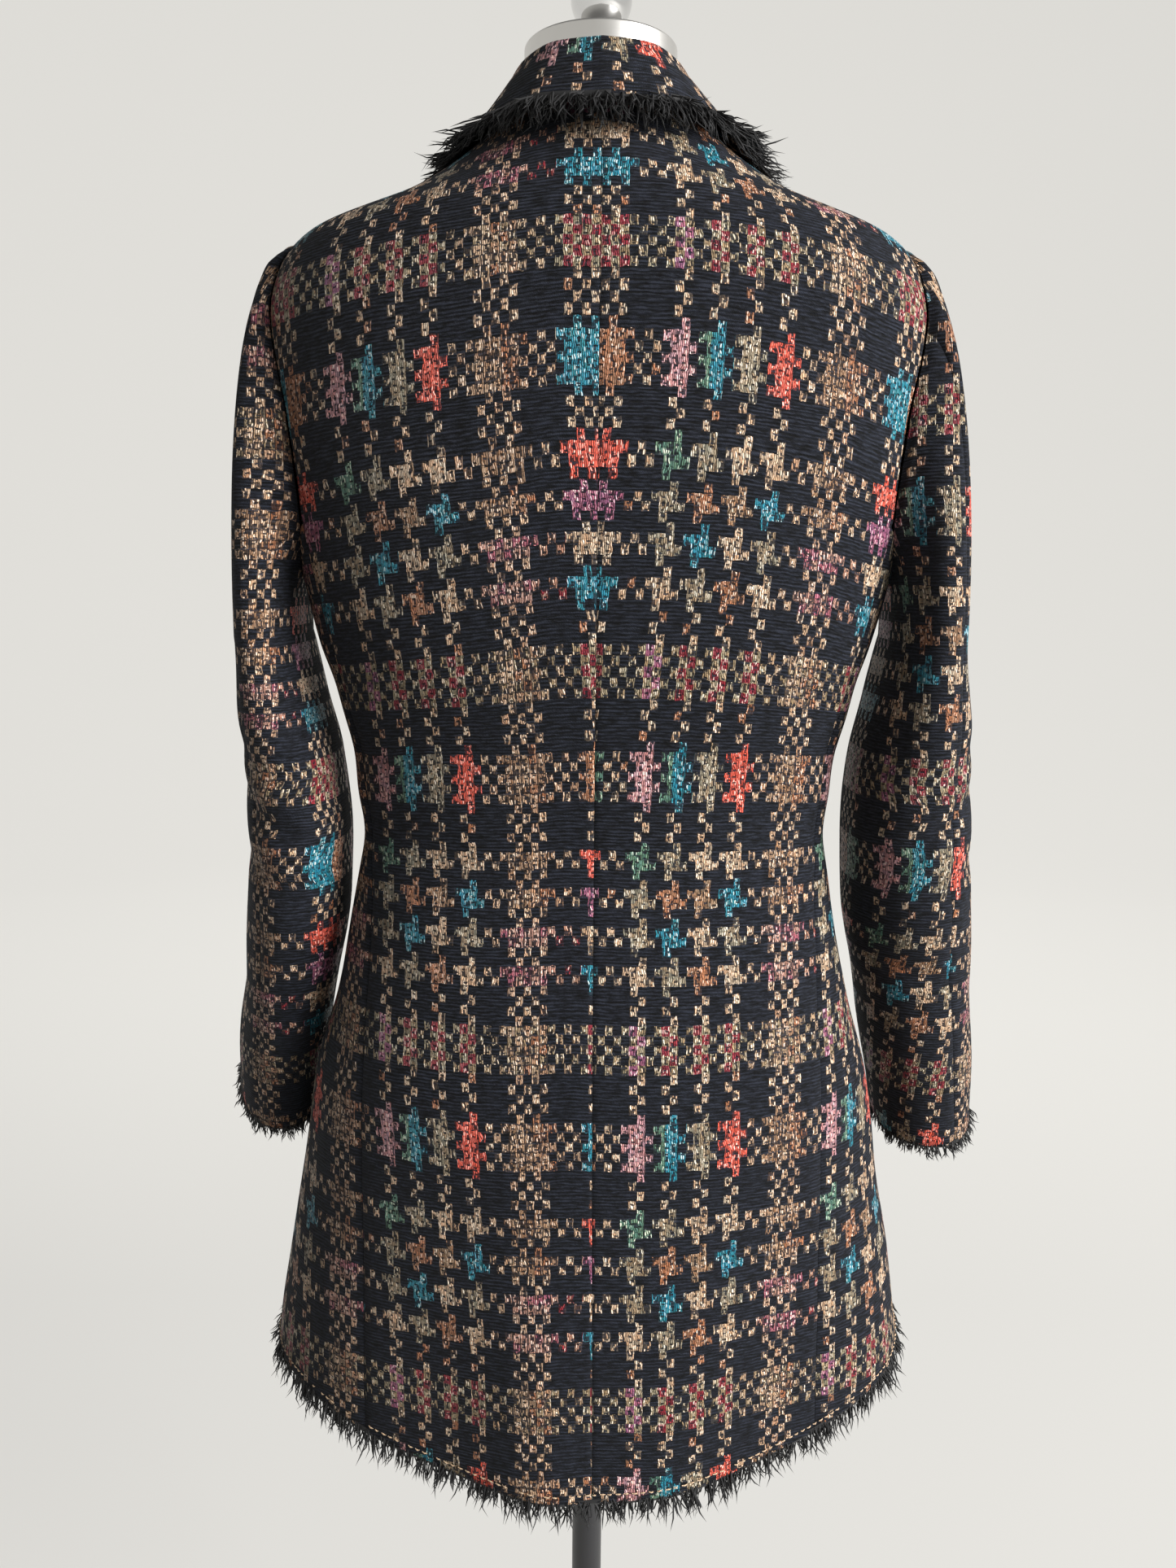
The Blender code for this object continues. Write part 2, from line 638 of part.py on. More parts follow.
def fringe(name, path, style, material, closed=False, hang=0.0, clear=0.0):
    """Narrow strip along a path of frames, with locks drawn out of every other face under it.

    Each frame is a point, the direction out of the cloth and the direction that the locks hang in.
    """
    rng = random.Random(name)
    bm = bmesh.new()
    rings = []
    for point, out, down in path:
        a = point + out * 0.0002
        b = point + out * (WALL - 0.0002)
        ring = [bm.verts.new(a), bm.verts.new(b)]
        ring += [bm.verts.new(b + down * STRIP), bm.verts.new(a + down * STRIP)]
        rings.append(ring)
    count = len(rings)
    feet = []
    last = count if closed else count - 1
    for i in range(last):
        near, far = rings[i], rings[(i + 1) % count]
        for k in range(4):
            face = bm.faces.new((near[k], near[(k + 1) % 4], far[(k + 1) % 4], far[k]))
            if k == 2 and i % 2 == 1:
                feet.append((face, i))
    if not closed:
        bm.faces.new(rings[0])
        bm.faces.new(list(reversed(rings[-1])))
    bmesh.ops.recalc_face_normals(bm, faces=bm.faces)
    for face, i in feet:
        point, out, down = path[i]
        along = (path[(i + 1) % count][0] - point).normalized()
        long = style.length * rng.uniform(0.78, 1.12)
        lean = down + out * rng.uniform(0.05, 0.45) + along * rng.uniform(-0.35, 0.35)
        lean = lean.normalized() + Vector((0.0, 0.0, -hang))
        made = bmesh.ops.extrude_discrete_faces(bm, faces=[face])
        tip = made["faces"][0]
        bmesh.ops.translate(bm, verts=tip.verts, vec=lean.normalized() * long)
        middle = tip.calc_center_median()
        goal = push_clear(middle, clear) if clear else middle
        for vert in tip.verts:
            vert.co = goal + (vert.co - middle) * 0.45
    mesh = bpy.data.meshes.new(name)
    bm.to_mesh(mesh)
    bm.free()
    obj = bpy.data.objects.new(name, mesh)
    bpy.context.scene.collection.objects.link(obj)
    mesh.materials.append(material)
    return obj


def lock_places(edge, style, closed=False):
    """Shares of an edge's parameter at which its strip has stations, a lock in every other span."""
    steps = 720
    points = [edge(i / steps)[0] for i in range(steps + 1)]
    lengths = [0.0]
    for a, b in zip(points, points[1:]):
        lengths.append(lengths[-1] + (b - a).length)
    pitch = lengths[-1] / (style.locks if closed else style.locks + 0.5)
    marks = [] if closed else [0.0]
    for i in range(style.locks):
        centre = (i + 0.75) * pitch
        marks.append(centre - style.breadth / 2.0)
        marks.append(centre + style.breadth / 2.0)
    if closed:
        marks = marks[1:] + marks[:1]
    else:
        marks.append(lengths[-1])
    found = []
    for at in marks:
        i = 0
        while i < steps - 1 and lengths[i + 1] < at:
            i += 1
        found.append((i + (at - lengths[i]) / (lengths[i + 1] - lengths[i])) / steps)
    return found


def hem_frame(share):
    """Place on the hem from the left front's edge round the back to the right front's edge."""
    z = HEM_Z
    over = angle_at(LAP, z)
    angle = mix(-(math.pi + over), math.pi + over, share)
    x = body("half", z) * abs(math.sin(angle)) ** (2.0 / body("round", z))
    if math.sin(angle) < 0.0 and angle > 0.0:
        x = -x
    front = math.cos(angle) < 0.0
    lift = lap_lift(x, 1.0, front) if angle > 0.0 else 0.0
    low = hem_drop(angle, z) - 3.0 * SEAM
    point = on_body(angle, low, lift)
    out = (on_body(angle, low, lift + 0.01) - point).normalized()
    down = (on_body(angle, low - 0.01, lift) - point).normalized()
    return point, out, down


def cuff_frame(name, share):
    """Place on the cuff's edge, once round the arm."""
    turn = share * 360.0
    point = sleeve_point(name, 2.0, turn)
    above = sleeve_point(name, 1.95, turn)
    side = (sleeve_point(name, 2.0, turn + 1.0) - sleeve_point(name, 2.0, turn - 1.0)).normalized()
    down = (point - above).normalized()
    out = side.cross(down).normalized()
    if out.dot(point - arm_centre(name, point.z)) < 0.0:
        out.negate()
    return point + down * SEAM, out, down


def collar_frame(share):
    """Place on the collar's free edge, from the left front round the back to the right front."""
    end = COLLAR[-1].angle
    angle = mix(-end, end, share)
    points = collar_section(angle)
    near = collar_section(min(end, angle + 0.5))
    back = collar_section(max(-end, angle - 0.5))
    along = (near[-1] - back[-1]).normalized()
    down = (points[-1] - points[-2]).normalized()
    out = along.cross(down).normalized()
    if out.z < 0.0:
        out.negate()
    return points[-1] + down * 2.5 * SEAM, out, down


def lathe(name, profile, steps, material, flip=False):
    """Closed turned body: a profile of radius and height from axis to axis, and Screw."""
    mesh = bpy.data.meshes.new(name)
    verts = [(r, 0.0, z) for r, z in profile]
    edges = [(i, i + 1) for i in range(len(profile) - 1)]
    mesh.from_pydata(verts, edges, [])
    obj = bpy.data.objects.new(name, mesh)
    bpy.context.scene.collection.objects.link(obj)
    mesh.materials.append(material)
    turn = obj.modifiers.new("turn", "SCREW")
    turn.angle = math.tau
    turn.steps = steps
    turn.render_steps = steps
    turn.use_merge_vertices = True
    turn.merge_threshold = 0.00002
    turn.use_normal_calculate = True
    turn.use_normal_flip = flip
    return obj


def form_torso(material, columns=24):
    """Smooth limbless torso as a closed loft of level rings."""
    verts = []
    for row in FORM:
        for c in range(columns):
            a = math.tau * c / columns
            x = math.copysign(row.half * abs(math.sin(a)) ** (2.0 / FORM_ROUND), math.sin(a))
            reach = row.back if math.cos(a) > 0.0 else row.front
            verts.append(Vector((x, row.mid - reach * math.cos(a), row.z)))
    faces = []
    for r in range(len(FORM) - 1):
        for c in range(columns):
            n = (c + 1) % columns
            low, high = r * columns, (r + 1) * columns
            faces.append((low + c, low + n, high + n, high + c))
    faces.append(tuple(reversed(range(columns))))
    faces.append(tuple((len(FORM) - 1) * columns + c for c in range(columns)))
    obj = new_object("form_torso", verts, faces, material)
    face_outward(obj, axis_point)
    return obj


def button(index, z, material):
    """Plain button lying on the right front's outer face at the centre front."""
    rim = BUTTON_R
    t = BUTTON_T
    profile = [(0.0, 0.0), (rim - 0.0010, 0.0), (rim, 0.0010), (rim, t - 0.0010)]
    profile += [(rim - 0.0015, t), (rim - 0.0035, t - 0.0010), (0.0, t - 0.0010)]
    obj = lathe(f"button_{index}", profile, 16, material)
    outer = LAP_LIFT + WALL
    middle = on_body(math.pi, z, outer)
    normal = (on_body(math.pi, z, outer + 0.01) - middle).normalized()
    lift = 0.0
    for turn in range(0, 360, 30):
        across = rim * math.cos(math.radians(turn))
        high = z + rim * math.sin(math.radians(turn))
        rest = on_body(math.pi - angle_at(across, high), high, outer)
        lift = max(lift, (rest - middle).dot(normal))
    obj.rotation_euler = (math.atan2(normal.z, normal.y) - math.pi / 2.0, 0.0, 0.0)
    obj.location = middle + normal * (lift + 1.5 * SEAM)
    return obj


def build():
    clear_startup()
    plaid = paint("plaid_cloth", (0.045, 0.045, 0.055), 0.85)
    trim = paint("black_fringe", (0.012, 0.012, 0.014), 0.6)
    horn = paint("button_plastic", (0.02, 0.018, 0.016), 0.35)
    linen = paint("form_cover", (0.72, 0.68, 0.60), 0.9)
    brushed = paint("brushed_metal", (0.62, 0.62, 0.60), 0.32, 1.0)
    chrome = paint("chrome_metal", (0.80, 0.80, 0.80), 0.08, 1.0)
    dark = paint("dark_paint", (0.03, 0.03, 0.032), 0.4)

    back_shares = shares_of(BACK_COLUMNS)
    front_shares = shares_of(FRONT_COLUMNS)
    for name, side in (("left", -1.0), ("right", 1.0)):
        cloth(f"coat_back_{name}", panel(side, False, back_shares), plaid)
        cloth(f"coat_front_{name}", panel(side, True, front_shares), plaid)
        cloth(f"coat_side_{name}", side_panel(side), plaid)
        seam_back = BACK_ARM_SEAM[name]
        top = sleeve_grid(name, FRONT_ARM_SEAM - 360.0, seam_back, 10)
        under = sleeve_grid(name, seam_back, FRONT_ARM_SEAM, 8)
        cloth(f"sleeve_top_{name}", top, plaid, arm_axis(name))
        cloth(f"sleeve_under_{name}", under, plaid, arm_axis(name))
    cloth("collar", collar_grid(), plaid, collar_inside)

    path = [hem_frame(share) for share in lock_places(hem_frame, FRINGE_HEM)]
    fringe("fringe_hem", path, FRINGE_HEM, trim)
    path = [collar_frame(share) for share in lock_places(collar_frame, FRINGE_COLLAR)]
    fringe("fringe_collar", path, FRINGE_COLLAR, trim, False, COLLAR_LOCK_HANG, COLLAR_LOCK_CLEAR)
    for name in ("left", "right"):
        edge = partial(cuff_frame, name)
        path = [edge(share) for share in lock_places(edge, FRINGE_CUFF, closed=True)]
        fringe(f"fringe_cuff_{name}", path, FRINGE_CUFF, trim, closed=True)

    for index, z in enumerate(BUTTON_Z, start=1):
        button(index, z, horn)

    form_torso(linen)
    low, high = PLATE_Z
    plate = [(0.0, low), (PLATE_R - 0.001, low), (PLATE_R, low + 0.001), (PLATE_R, high - 0.002)]
    plate += [(PLATE_R - 0.0006, high - 0.0006), (PLATE_R - 0.002, high), (0.0, high)]
    lathe("neck_plate", plate, 32, brushed)
    foot = high + SEAM
    knob = [(0.0, foot), (FLANGE_R, foot), (FLANGE_R, foot + 0.003), (FLANGE_R - 0.003, foot + 0.005)]
    start = math.asin((FLANGE_R - 0.004) / KNOB_R)
    for i in range(9):
        a = mix(start, math.pi, i / 8.0)
        knob.append((KNOB_R * math.sin(a), KNOB_Z - KNOB_R * math.cos(a)))
    knob[-1] = (0.0, KNOB_Z + KNOB_R)
    lathe("neck_knob", knob, 24, chrome)
    top = FORM[0].z - SEAM
    bottom = BASE_T + SEAM
    pole = [(0.0, bottom), (POLE_R, bottom), (POLE_R, top), (0.0, top)]
    lathe("stand_pole", pole, 20, dark, flip=True)
    rim = BASE_R
    base = [(0.0, 0.0), (rim - 0.002, 0.0), (rim, 0.002), (rim, BASE_T - 0.004)]
    base += [(rim - 0.004, BASE_T), (0.0, BASE_T)]
    lathe("stand_base", base, 48, dark)


build()
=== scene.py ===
"""Looks of a plaid coat on a dress form stand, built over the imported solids.

Metres, +Z up. The coat's back faces -Y and its right sleeve is on +X.
"""
import math
import random
from collections import namedtuple
from functools import partialmethod

import bmesh
import bpy
import numpy as np
from mathutils import Euler, Matrix, Vector


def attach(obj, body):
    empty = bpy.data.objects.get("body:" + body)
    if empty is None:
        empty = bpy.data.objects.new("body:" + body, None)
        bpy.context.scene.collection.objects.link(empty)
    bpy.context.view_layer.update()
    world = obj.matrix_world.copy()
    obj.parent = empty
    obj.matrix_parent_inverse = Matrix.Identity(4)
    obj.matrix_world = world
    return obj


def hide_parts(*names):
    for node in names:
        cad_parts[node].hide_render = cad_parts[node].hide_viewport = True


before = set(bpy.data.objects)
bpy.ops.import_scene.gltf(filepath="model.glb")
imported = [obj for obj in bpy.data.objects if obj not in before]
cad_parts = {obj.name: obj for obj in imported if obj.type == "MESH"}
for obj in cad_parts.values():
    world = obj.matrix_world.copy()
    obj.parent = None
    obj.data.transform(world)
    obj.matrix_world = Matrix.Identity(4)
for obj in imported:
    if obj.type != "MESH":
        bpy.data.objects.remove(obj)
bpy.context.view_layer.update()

bl_info = {
    "name": "Plaid coat on a dress form",
    "version": (1, 0, 0),
    "blender": (4, 5, 0),
    "location": "3D View > Sidebar > Coat",
    "description": "Builds a fringed plaid coat, its dress form and a plain studio",
    "category": "Object",
}


def listed(kind, rows):
    return [kind(*row) for row in rows]


# Cloth
WALL = 0.002
SEAM = 0.0004
ARM_ROUND = 2.2
FORM_ROUND = 2.2
UNDERARM_Z = 1.165
SIDE_SEAM_TOP_Z = 1.200
SHOULDER_Z = 1.366
NAPE_Z = 1.430
FRONT_NECK_Z = 1.392
NECK_HALF = 0.062
HEM_Z = 0.604
HEM_RISE = 0.038
LAP = 0.018
LAP_LIFT = 0.0030
LEFT, RIGHT = -1.0, 1.0
SIDES = {"left": LEFT, "right": RIGHT}
# Thickness of the shown panels and of the collar, and half the gap at the centre back
SHELL = 0.0016
COLLAR_SHELL = 0.0018
CENTRE_GAP = 0.00006
# Widths and lengths that the mesh step divides
PANEL_WIDTH = 0.185
YOKE_LENGTH = 0.22
SIDE_WIDTH = 0.17
ARM_GIRTH = 0.30
CAP_LENGTH = 0.20
TUBE_LENGTH = 0.36
# Share of the seam dip that the centre back takes, and how wide a pressed seam's dip is
CENTRE_DIP = 0.4
PRESS_WIDTH = 0.0032
# Top of the sleeve's tube, and where the middle of its cap has drawn in to the shoulder
TUBE_TOP_Z = 1.13
CAP_MIDDLE_Z = 1.33
CAP_MIDDLE_X = 0.19

# Columns of the repeat at the centre back, the centre front, the back seam of each side panel,
# the middle of the collar, and the back seam of each sleeve where it is ARM_SEAM_X off the middle
BACK_COLUMN = 33.0
FRONT_COLUMN = 12.0
SIDE_COLUMN = {LEFT: 25.0, RIGHT: 40.2}
COLLAR_COLUMN = 8.3
ARM_COLUMN = {"left": 22.0, "right": 6.0}
ARM_SEAM_X = 0.2002
# Row of the repeat on the collar's fold
COLLAR_ROW = 3.8
# Columns that the shoulders take in on each side, the spread of the left back toward its hem,
# and the columns that the right top sleeve lies off below its cap
SHOULDER_SLACK = {LEFT: 0.16, RIGHT: 0.35}
LEFT_SPREAD = 0.045
TOP_SLEEVE_SHIFT = 1.5
# Fringe: number and width of the tufts that lean together, and share of the longer threads
TUFTS = 4096
TUFT_WIDTH = 0.0045
ODD_THREADS = 0.03
# Stitches along the hem, some of them missing, and the spacing of the form cover's threads
STITCHES = 250
LINEN_THREAD = 0.0011

# Body of the coat, a row for each level section, hem to nape, as in the solids
Section = namedtuple("Section", "z half back front mid seam round turn")
BODY = listed(Section, [
    (0.590, 0.2210, 0.1410, 0.1400, 0.000, 0.1470, 1.90, 0.8),
    (0.636, 0.2185, 0.1380, 0.1385, 0.000, 0.1470, 1.92, 0.8),
    (0.700, 0.2095, 0.1330, 0.1350, 0.000, 0.1470, 2.00, 0.6),
    (0.760, 0.1990, 0.1270, 0.1300, 0.000, 0.1465, 2.10, 0.4),
    (0.833, 0.1890, 0.1200, 0.1220, 0.000, 0.1460, 2.20, 0.2),
    (0.886, 0.1740, 0.1060, 0.1130, 0.000, 0.1450, 2.25, 0.0),
    (0.943, 0.1620, 0.0860, 0.1020, 0.000, 0.1440, 2.30, 0.0),
    (1.000, 0.1530, 0.0720, 0.0950, 0.000, 0.1445, 2.30, 0.0),
    (1.053, 0.1585, 0.0750, 0.0990, 0.000, 0.1500, 2.30, 0.0),
    (1.097, 0.1690, 0.0850, 0.1080, 0.000, 0.1590, 2.30, 0.0),
    (1.126, 0.1780, 0.0920, 0.1150, 0.000, 0.1660, 2.30, 0.0),
    (1.165, 0.1870, 0.0980, 0.1210, 0.000, 0.1740, 2.30, 0.0),
    (1.200, 0.1930, 0.1010, 0.1210, 0.000, 0.1795, 2.30, 0.0),
    (1.260, 0.2030, 0.1040, 0.1150, 0.000, 0.1840, 2.30, 0.0),
    (1.320, 0.2085, 0.1040, 0.1020, -0.003, 0.1935, 2.15, 0.0),
    (1.345, 0.1990, 0.1020, 0.0920, -0.006, 0.1930, 1.95, 0.0),
    (1.366, 0.1800, 0.0980, 0.0830, -0.008, 0.1800, 1.80, 0.0),
    (1.390, 0.1165, 0.0910, 0.0740, -0.008, 0.1165, 1.75, 0.0),
    (1.413, 0.0795, 0.0800, 0.0690, -0.008, 0.0795, 1.75, 0.0),
    (1.430, 0.0620, 0.0660, 0.0680, -0.008, 0.0620, 1.80, 0.0),
])
Edge = namedtuple("Edge", "z x")
ARMHOLE = listed(Edge, [
    (1.165, 0.1870), (1.180, 0.1840), (1.200, 0.1810), (1.260, 0.1850), (1.320, 0.1935),
    (1.345, 0.1900), (1.366, 0.1800),
])
Flute = namedtuple("Flute", "angle breadth depth top")
FLUTES = listed(Flute, [
    (-150.0, 13.0, 0.0045, 0.86),
    (-112.0, 14.0, 0.0040, 0.84),
    (-70.0, 15.0, 0.0050, 0.88),
    (-30.0, 12.0, -0.0040, 0.84),
    (-9.0, 8.0, 0.0060, 0.86),
    (13.0, 9.0, 0.0035, 0.80),
    (34.0, 12.0, -0.0035, 0.82),
    (66.0, 15.0, 0.0050, 0.86),
    (104.0, 14.0, 0.0045, 0.84),
    (146.0, 13.0, 0.0045, 0.86),
])
Arm = namedtuple("Arm", "z x y across deep turn")
ARMS = {
    "right": listed(Arm, [
        (1.130, 0.2146, 0.002, 0.0205, 0.0620, 0.0),
        (1.090, 0.2133, 0.004, 0.0281, 0.0630, 0.0),
        (1.050, 0.2119, 0.008, 0.0360, 0.0620, 0.0),
        (1.000, 0.2139, 0.013, 0.0399, 0.0600, -2.0),
        (0.950, 0.2193, 0.022, 0.0412, 0.0580, -4.0),
        (0.890, 0.2296, 0.036, 0.0396, 0.0570, -6.0),
        (0.830, 0.2408, 0.050, 0.0368, 0.0560, -6.0),
        (0.770, 0.2505, 0.062, 0.0348, 0.0550, -6.0),
    ]),
    "left": listed(Arm, [
        (1.130, 0.2108, 0.002, 0.0169, 0.0630, 0.0),
        (1.090, 0.2071, 0.004, 0.0219, 0.0640, 0.0),
        (1.050, 0.2020, 0.008, 0.0281, 0.0640, -2.0),
        (1.000, 0.2012, 0.014, 0.0316, 0.0620, -5.0),
        (0.950, 0.2061, 0.024, 0.0330, 0.0620, -9.0),
        (0.890, 0.2163, 0.036, 0.0314, 0.0620, -13.0),
        (0.830, 0.2286, 0.048, 0.0290, 0.0620, -17.0),
        (0.770, 0.2381, 0.058, 0.0258, 0.0620, -20.0),
    ]),
}
CUFF_TILT = 0.008
CUFF_Z = {"right": 0.775, "left": 0.790}
BACK_ARM_SEAM = {"right": 62.0, "left": 50.0}
FRONT_ARM_SEAM = 232.0
PUFF = 0.002
Crease = namedtuple("Crease", "z angle slant depth")
CREASES = listed(Crease, [
    (1.052, 60.0, 0.020, 0.0030),
    (1.012, 75.0, 0.026, 0.0045),
    (0.972, 60.0, 0.020, 0.0035),
    (0.905, 85.0, -0.018, 0.0025),
])
Fold = namedtuple("Fold", "angle fold_x fold_y fold_z edge_x edge_y edge_z")
COLLAR = listed(Fold, [
    (0.0, 0.0000, -0.0830, 1.4495, 0.0000, -0.1000, 1.4200),
    (25.0, 0.0210, -0.0775, 1.4495, 0.0340, -0.0935, 1.4205),
    (50.0, 0.0360, -0.0620, 1.4480, 0.0565, -0.0745, 1.4205),
    (75.0, 0.0455, -0.0370, 1.4455, 0.0755, -0.0445, 1.4195),
    (100.0, 0.0500, -0.0100, 1.4410, 0.0920, -0.0040, 1.4115),
    (125.0, 0.0485, 0.0160, 1.4340, 0.0985, 0.0400, 1.3930),
    (150.0, 0.0360, 0.0420, 1.4225, 0.0890, 0.0820, 1.3605),
    (172.0, 0.0080, 0.0600, 1.4060, 0.0600, 0.1050, 1.3250),
])
FOLD_R = 0.003

COLLAR_TURN = 177.5
COLLAR_CLEAR = 0.0055
STAND_LIFT = 0.0020
COLLAR_SHIFT = 0.0025
BUTTON_R = 0.011
BUTTON_T = 0.0035
BUTTON_Z = [1.340, 1.210, 1.080, 0.950]
FormRing = namedtuple("FormRing", "z half back front mid")
FORM = listed(FormRing, [
    (0.800, 0.1560, 0.0960, 0.0960, 0.000),
    (0.812, 0.1640, 0.1030, 0.1020, 0.000),
    (0.850, 0.1660, 0.1020, 0.1030, 0.000),
    (0.900, 0.1600, 0.0900, 0.0980, 0.000),
    (0.950, 0.1500, 0.0750, 0.0900, 0.000),
    (1.000, 0.1440, 0.0640, 0.0860, 0.000),
    (1.050, 0.1480, 0.0670, 0.0890, 0.000),
    (1.100, 0.1590, 0.0770, 0.0990, 0.000),
    (1.160, 0.1760, 0.0890, 0.1120, 0.000),
    (1.210, 0.1820, 0.0930, 0.1110, 0.000),
    (1.260, 0.1840, 0.0950, 0.1040, 0.000),
    (1.310, 0.1850, 0.0950, 0.0930, -0.003),
    (1.342, 0.1925, 0.0985, 0.0875, -0.006),
    (1.358, 0.1800, 0.0957, 0.0815, -0.008),
    (1.376, 0.1385, 0.0897, 0.0745, -0.008),
    (1.396, 0.0925, 0.0775, 0.0660, -0.008),
    (1.413, 0.0640, 0.0580, 0.0560, -0.006),
    (1.428, 0.0500, 0.0480, 0.0500, -0.003),
    (1.440, 0.0455, 0.0455, 0.0470, 0.000),
    (1.449, 0.0450, 0.0450, 0.0450, 0.000),
])
PLATE_R = 0.0462
PLATE_Z = (1.4494, 1.4805)
KNOB_R = 0.0185
KNOB_Z = 1.5085
FLANGE_R = 0.0120
POLE_R = 0.0110
BASE_R = 0.1750
BASE_T = 0.0100

# Studio: radius of the flat floor, of its curve up to the wall, and the wall's height
FLOOR_R = 4.0
BOWL_R = 4.0
BOWL_TOP = 9.0
FLOOR_GAP = 0.0002
Lamp = namedtuple("Lamp", "name place aim size watts colour")
LAMPS = [
    Lamp("window", (3.8, -2.3, 2.5), (0.0, 0.0, 1.0), 2.8, 425.0, (1.0, 0.99, 0.975)),
    Lamp("backdrop", (0.0, 1.6, 3.4), (0.0, 8.0, 2.2), 3.5, 150.0, (1.0, 0.985, 0.955)),
]
AIR = (1.0, 0.985, 0.96, 1.0)
AIR_STRENGTH = 0.17
# Camera: place, focal length in mm, and degrees by which it looks down and is rolled
CAMERA_AT = (-0.004, -0.78, 1.175)
LENS = 27.03
CAMERA_DOWN = 10.5
CAMERA_ROLL = 0.5

# Woven repeat: columns of the warp stripes' bodies and rows of the weft bands' bodies. A cell is
# solid where a stripe crosses a band, and checked where only one of them runs
COLUMNS = 40
ROWS = 38
STRIPE_BODIES = [(1, 3), (5, 7), (9, 11), (13, 15), (19, 24), (29, 36)]
BAND_BODIES = [(1, 6), (11, 13), (15, 17), (19, 21), (23, 25), (29, 34)]
# Columns and rows with the motifs' own yarns; single checks between them are tan and copper
MOTIF_COLUMNS = [(0, 16), (18, 25), (28, 37)]
MOTIF_ROWS = [(0, 7), (10, 26), (29, 34)]
# Where single checks are red, where the yarns are mixed with tan, and where tan shows between
# the pink rows
RED_DOT_COLUMNS = [(16, 18), (25, 28)]
RED_DOT_ROWS = [(18, 26)]
EARTHY_COLUMNS = [(16, 28)]
PAUSE_COLUMNS = [(18, 25)]
PAUSE_ROWS = [(17, 27)]
# Rows whose odd checks are tan, that tan, the pale cream of the painted highlights on the floats,
# and the tints of the yarns
CHECK_ROWS = [(29, 34)]
CHECK_TAN = (0.36, 0.28, 0.165)
HIGHLIGHT_PAINT = (0.84, 0.76, 0.66)
WARM, COOL = (1.14, 0.97, 0.88), (0.88, 1.0, 1.14)
YARNS = ("tan", "copper", "umber", "coral", "teal", "green", "olive", "pink", "rose", "crimson",
         "lilac")

# Yarn of each stripe in each band, from a column on. The stripes are the four narrow ones, the
# broad earthy one and the widest one
BAND_YARNS = {
    "block": [(0, "pink"), (4, "green"), (5.45, "teal"), (8, "olive"), (12, "coral"),
              (16, "tan"), (18, "umber"), (22, "copper"), (25, "tan"), (28, "teal"),
              (33, "copper"), (37, "tan")],
    "second_block": [(0, "pink"), (4, "green"), (5.45, "teal"), (8, "olive"), (12, "coral"),
                     (16, "tan"), (18, "umber"), (22, "copper"), (25, "tan"), (28, "copper"),
                     (33, "green"), (37, "tan")],
    "first_star": [(0, "green"), (4, "olive"), (8, "tan"), (12, "tan"), (16, "copper"),
                   (18, "umber"), (25, "copper"), (28, "coral"), (37, "tan")],
    "second_star": [(0, "olive"), (4, "copper"), (8, "umber"), (12, "teal"), (16, "tan"),
                    (18, "umber"), (22, "copper"), (25, "tan"), (28, "lilac"), (37, "tan")],
    "third_star": [(0, "olive"), (4, "teal"), (8, "tan"), (12, "olive"), (16, "tan"),
                   (18, "rose"), (25, "crimson"), (28, "tan"), (37, "tan")],
    "fourth_star": [(0, "tan"), (4, "olive"), (8, "copper"), (12, "tan"), (16, "tan"),
                    (18, "rose"), (25, "crimson"), (28, "teal"), (37, "tan")],
    "check": [(0, "lilac"), (4, "crimson"), (8, "crimson"), (12, "crimson"), (16, "tan"),
              (18, "tan"), (21, "copper"), (25, "tan"), (28, "crimson"), (37, "tan")],
}
BAND_STARTS = [(0, "block"), (7, "first_star"), (14, "second_star"), (18, "third_star"),
               (22, "fourth_star"), (27, "check"), (35, "block")]

# Row of the repeat at heights of the coat's back
Grain = namedtuple("Grain", "z row")
BODY_GRAIN = listed(Grain, [
    (0.500, 136.7), (0.608, 117.5), (0.669, 107.0), (0.831, 79.5), (0.929, 62.0), (0.986, 52.0),
    (1.049, 41.5), (1.118, 31.0), (1.163, 24.0), (1.237, 12.0), (1.291, 3.5), (1.391, -14.0),
    (1.442, -24.0),
])
# The same rows over the shoulder blades: row by plain length, and row as the cloth lies
Drift = namedtuple("Drift", "plain row")
YOKE_DRIFT = listed(Drift, [
    (-40.0, -41.2), (-25.0, -26.0), (-15.2, -16.0), (-11.5, -12.0), (-8.85, -9.0), (-4.4, -4.0),
    (-0.3, 0.0), (0.8, 1.0), (6.7, 7.0), (9.55, 10.0), (14.2, 14.0), (18.0, 18.0), (22.0, 22.0),
    (140.0, 140.0),
])
# Rows by which the cloth of the back hangs lower away from its middle
Droop = namedtuple("Droop", "x yoke waist skirt")
DROOP = listed(Droop, [
    (-0.190, 3.30, 2.20, 1.90),
    (-0.155, 2.65, 1.70, 1.50),
    (-0.134, 2.15, 1.40, 1.30),
    (-0.104, 1.65, 0.75, 1.00),
    (-0.073, 1.10, 0.55, 0.75),
    (-0.043, 0.45, 0.35, 0.50),
    (-0.014, 0.00, -0.05, 0.15),
    (0.015, 0.00, -0.10, 0.30),
    (0.044, 0.10, 0.00, 0.45),
    (0.074, 0.35, 0.10, 0.55),
    (0.104, 0.90, 0.30, 0.75),
    (0.134, 1.50, 1.00, 1.15),
    (0.160, 2.50, 1.60, 1.50),
    (0.190, 3.40, 2.20, 1.80),
])
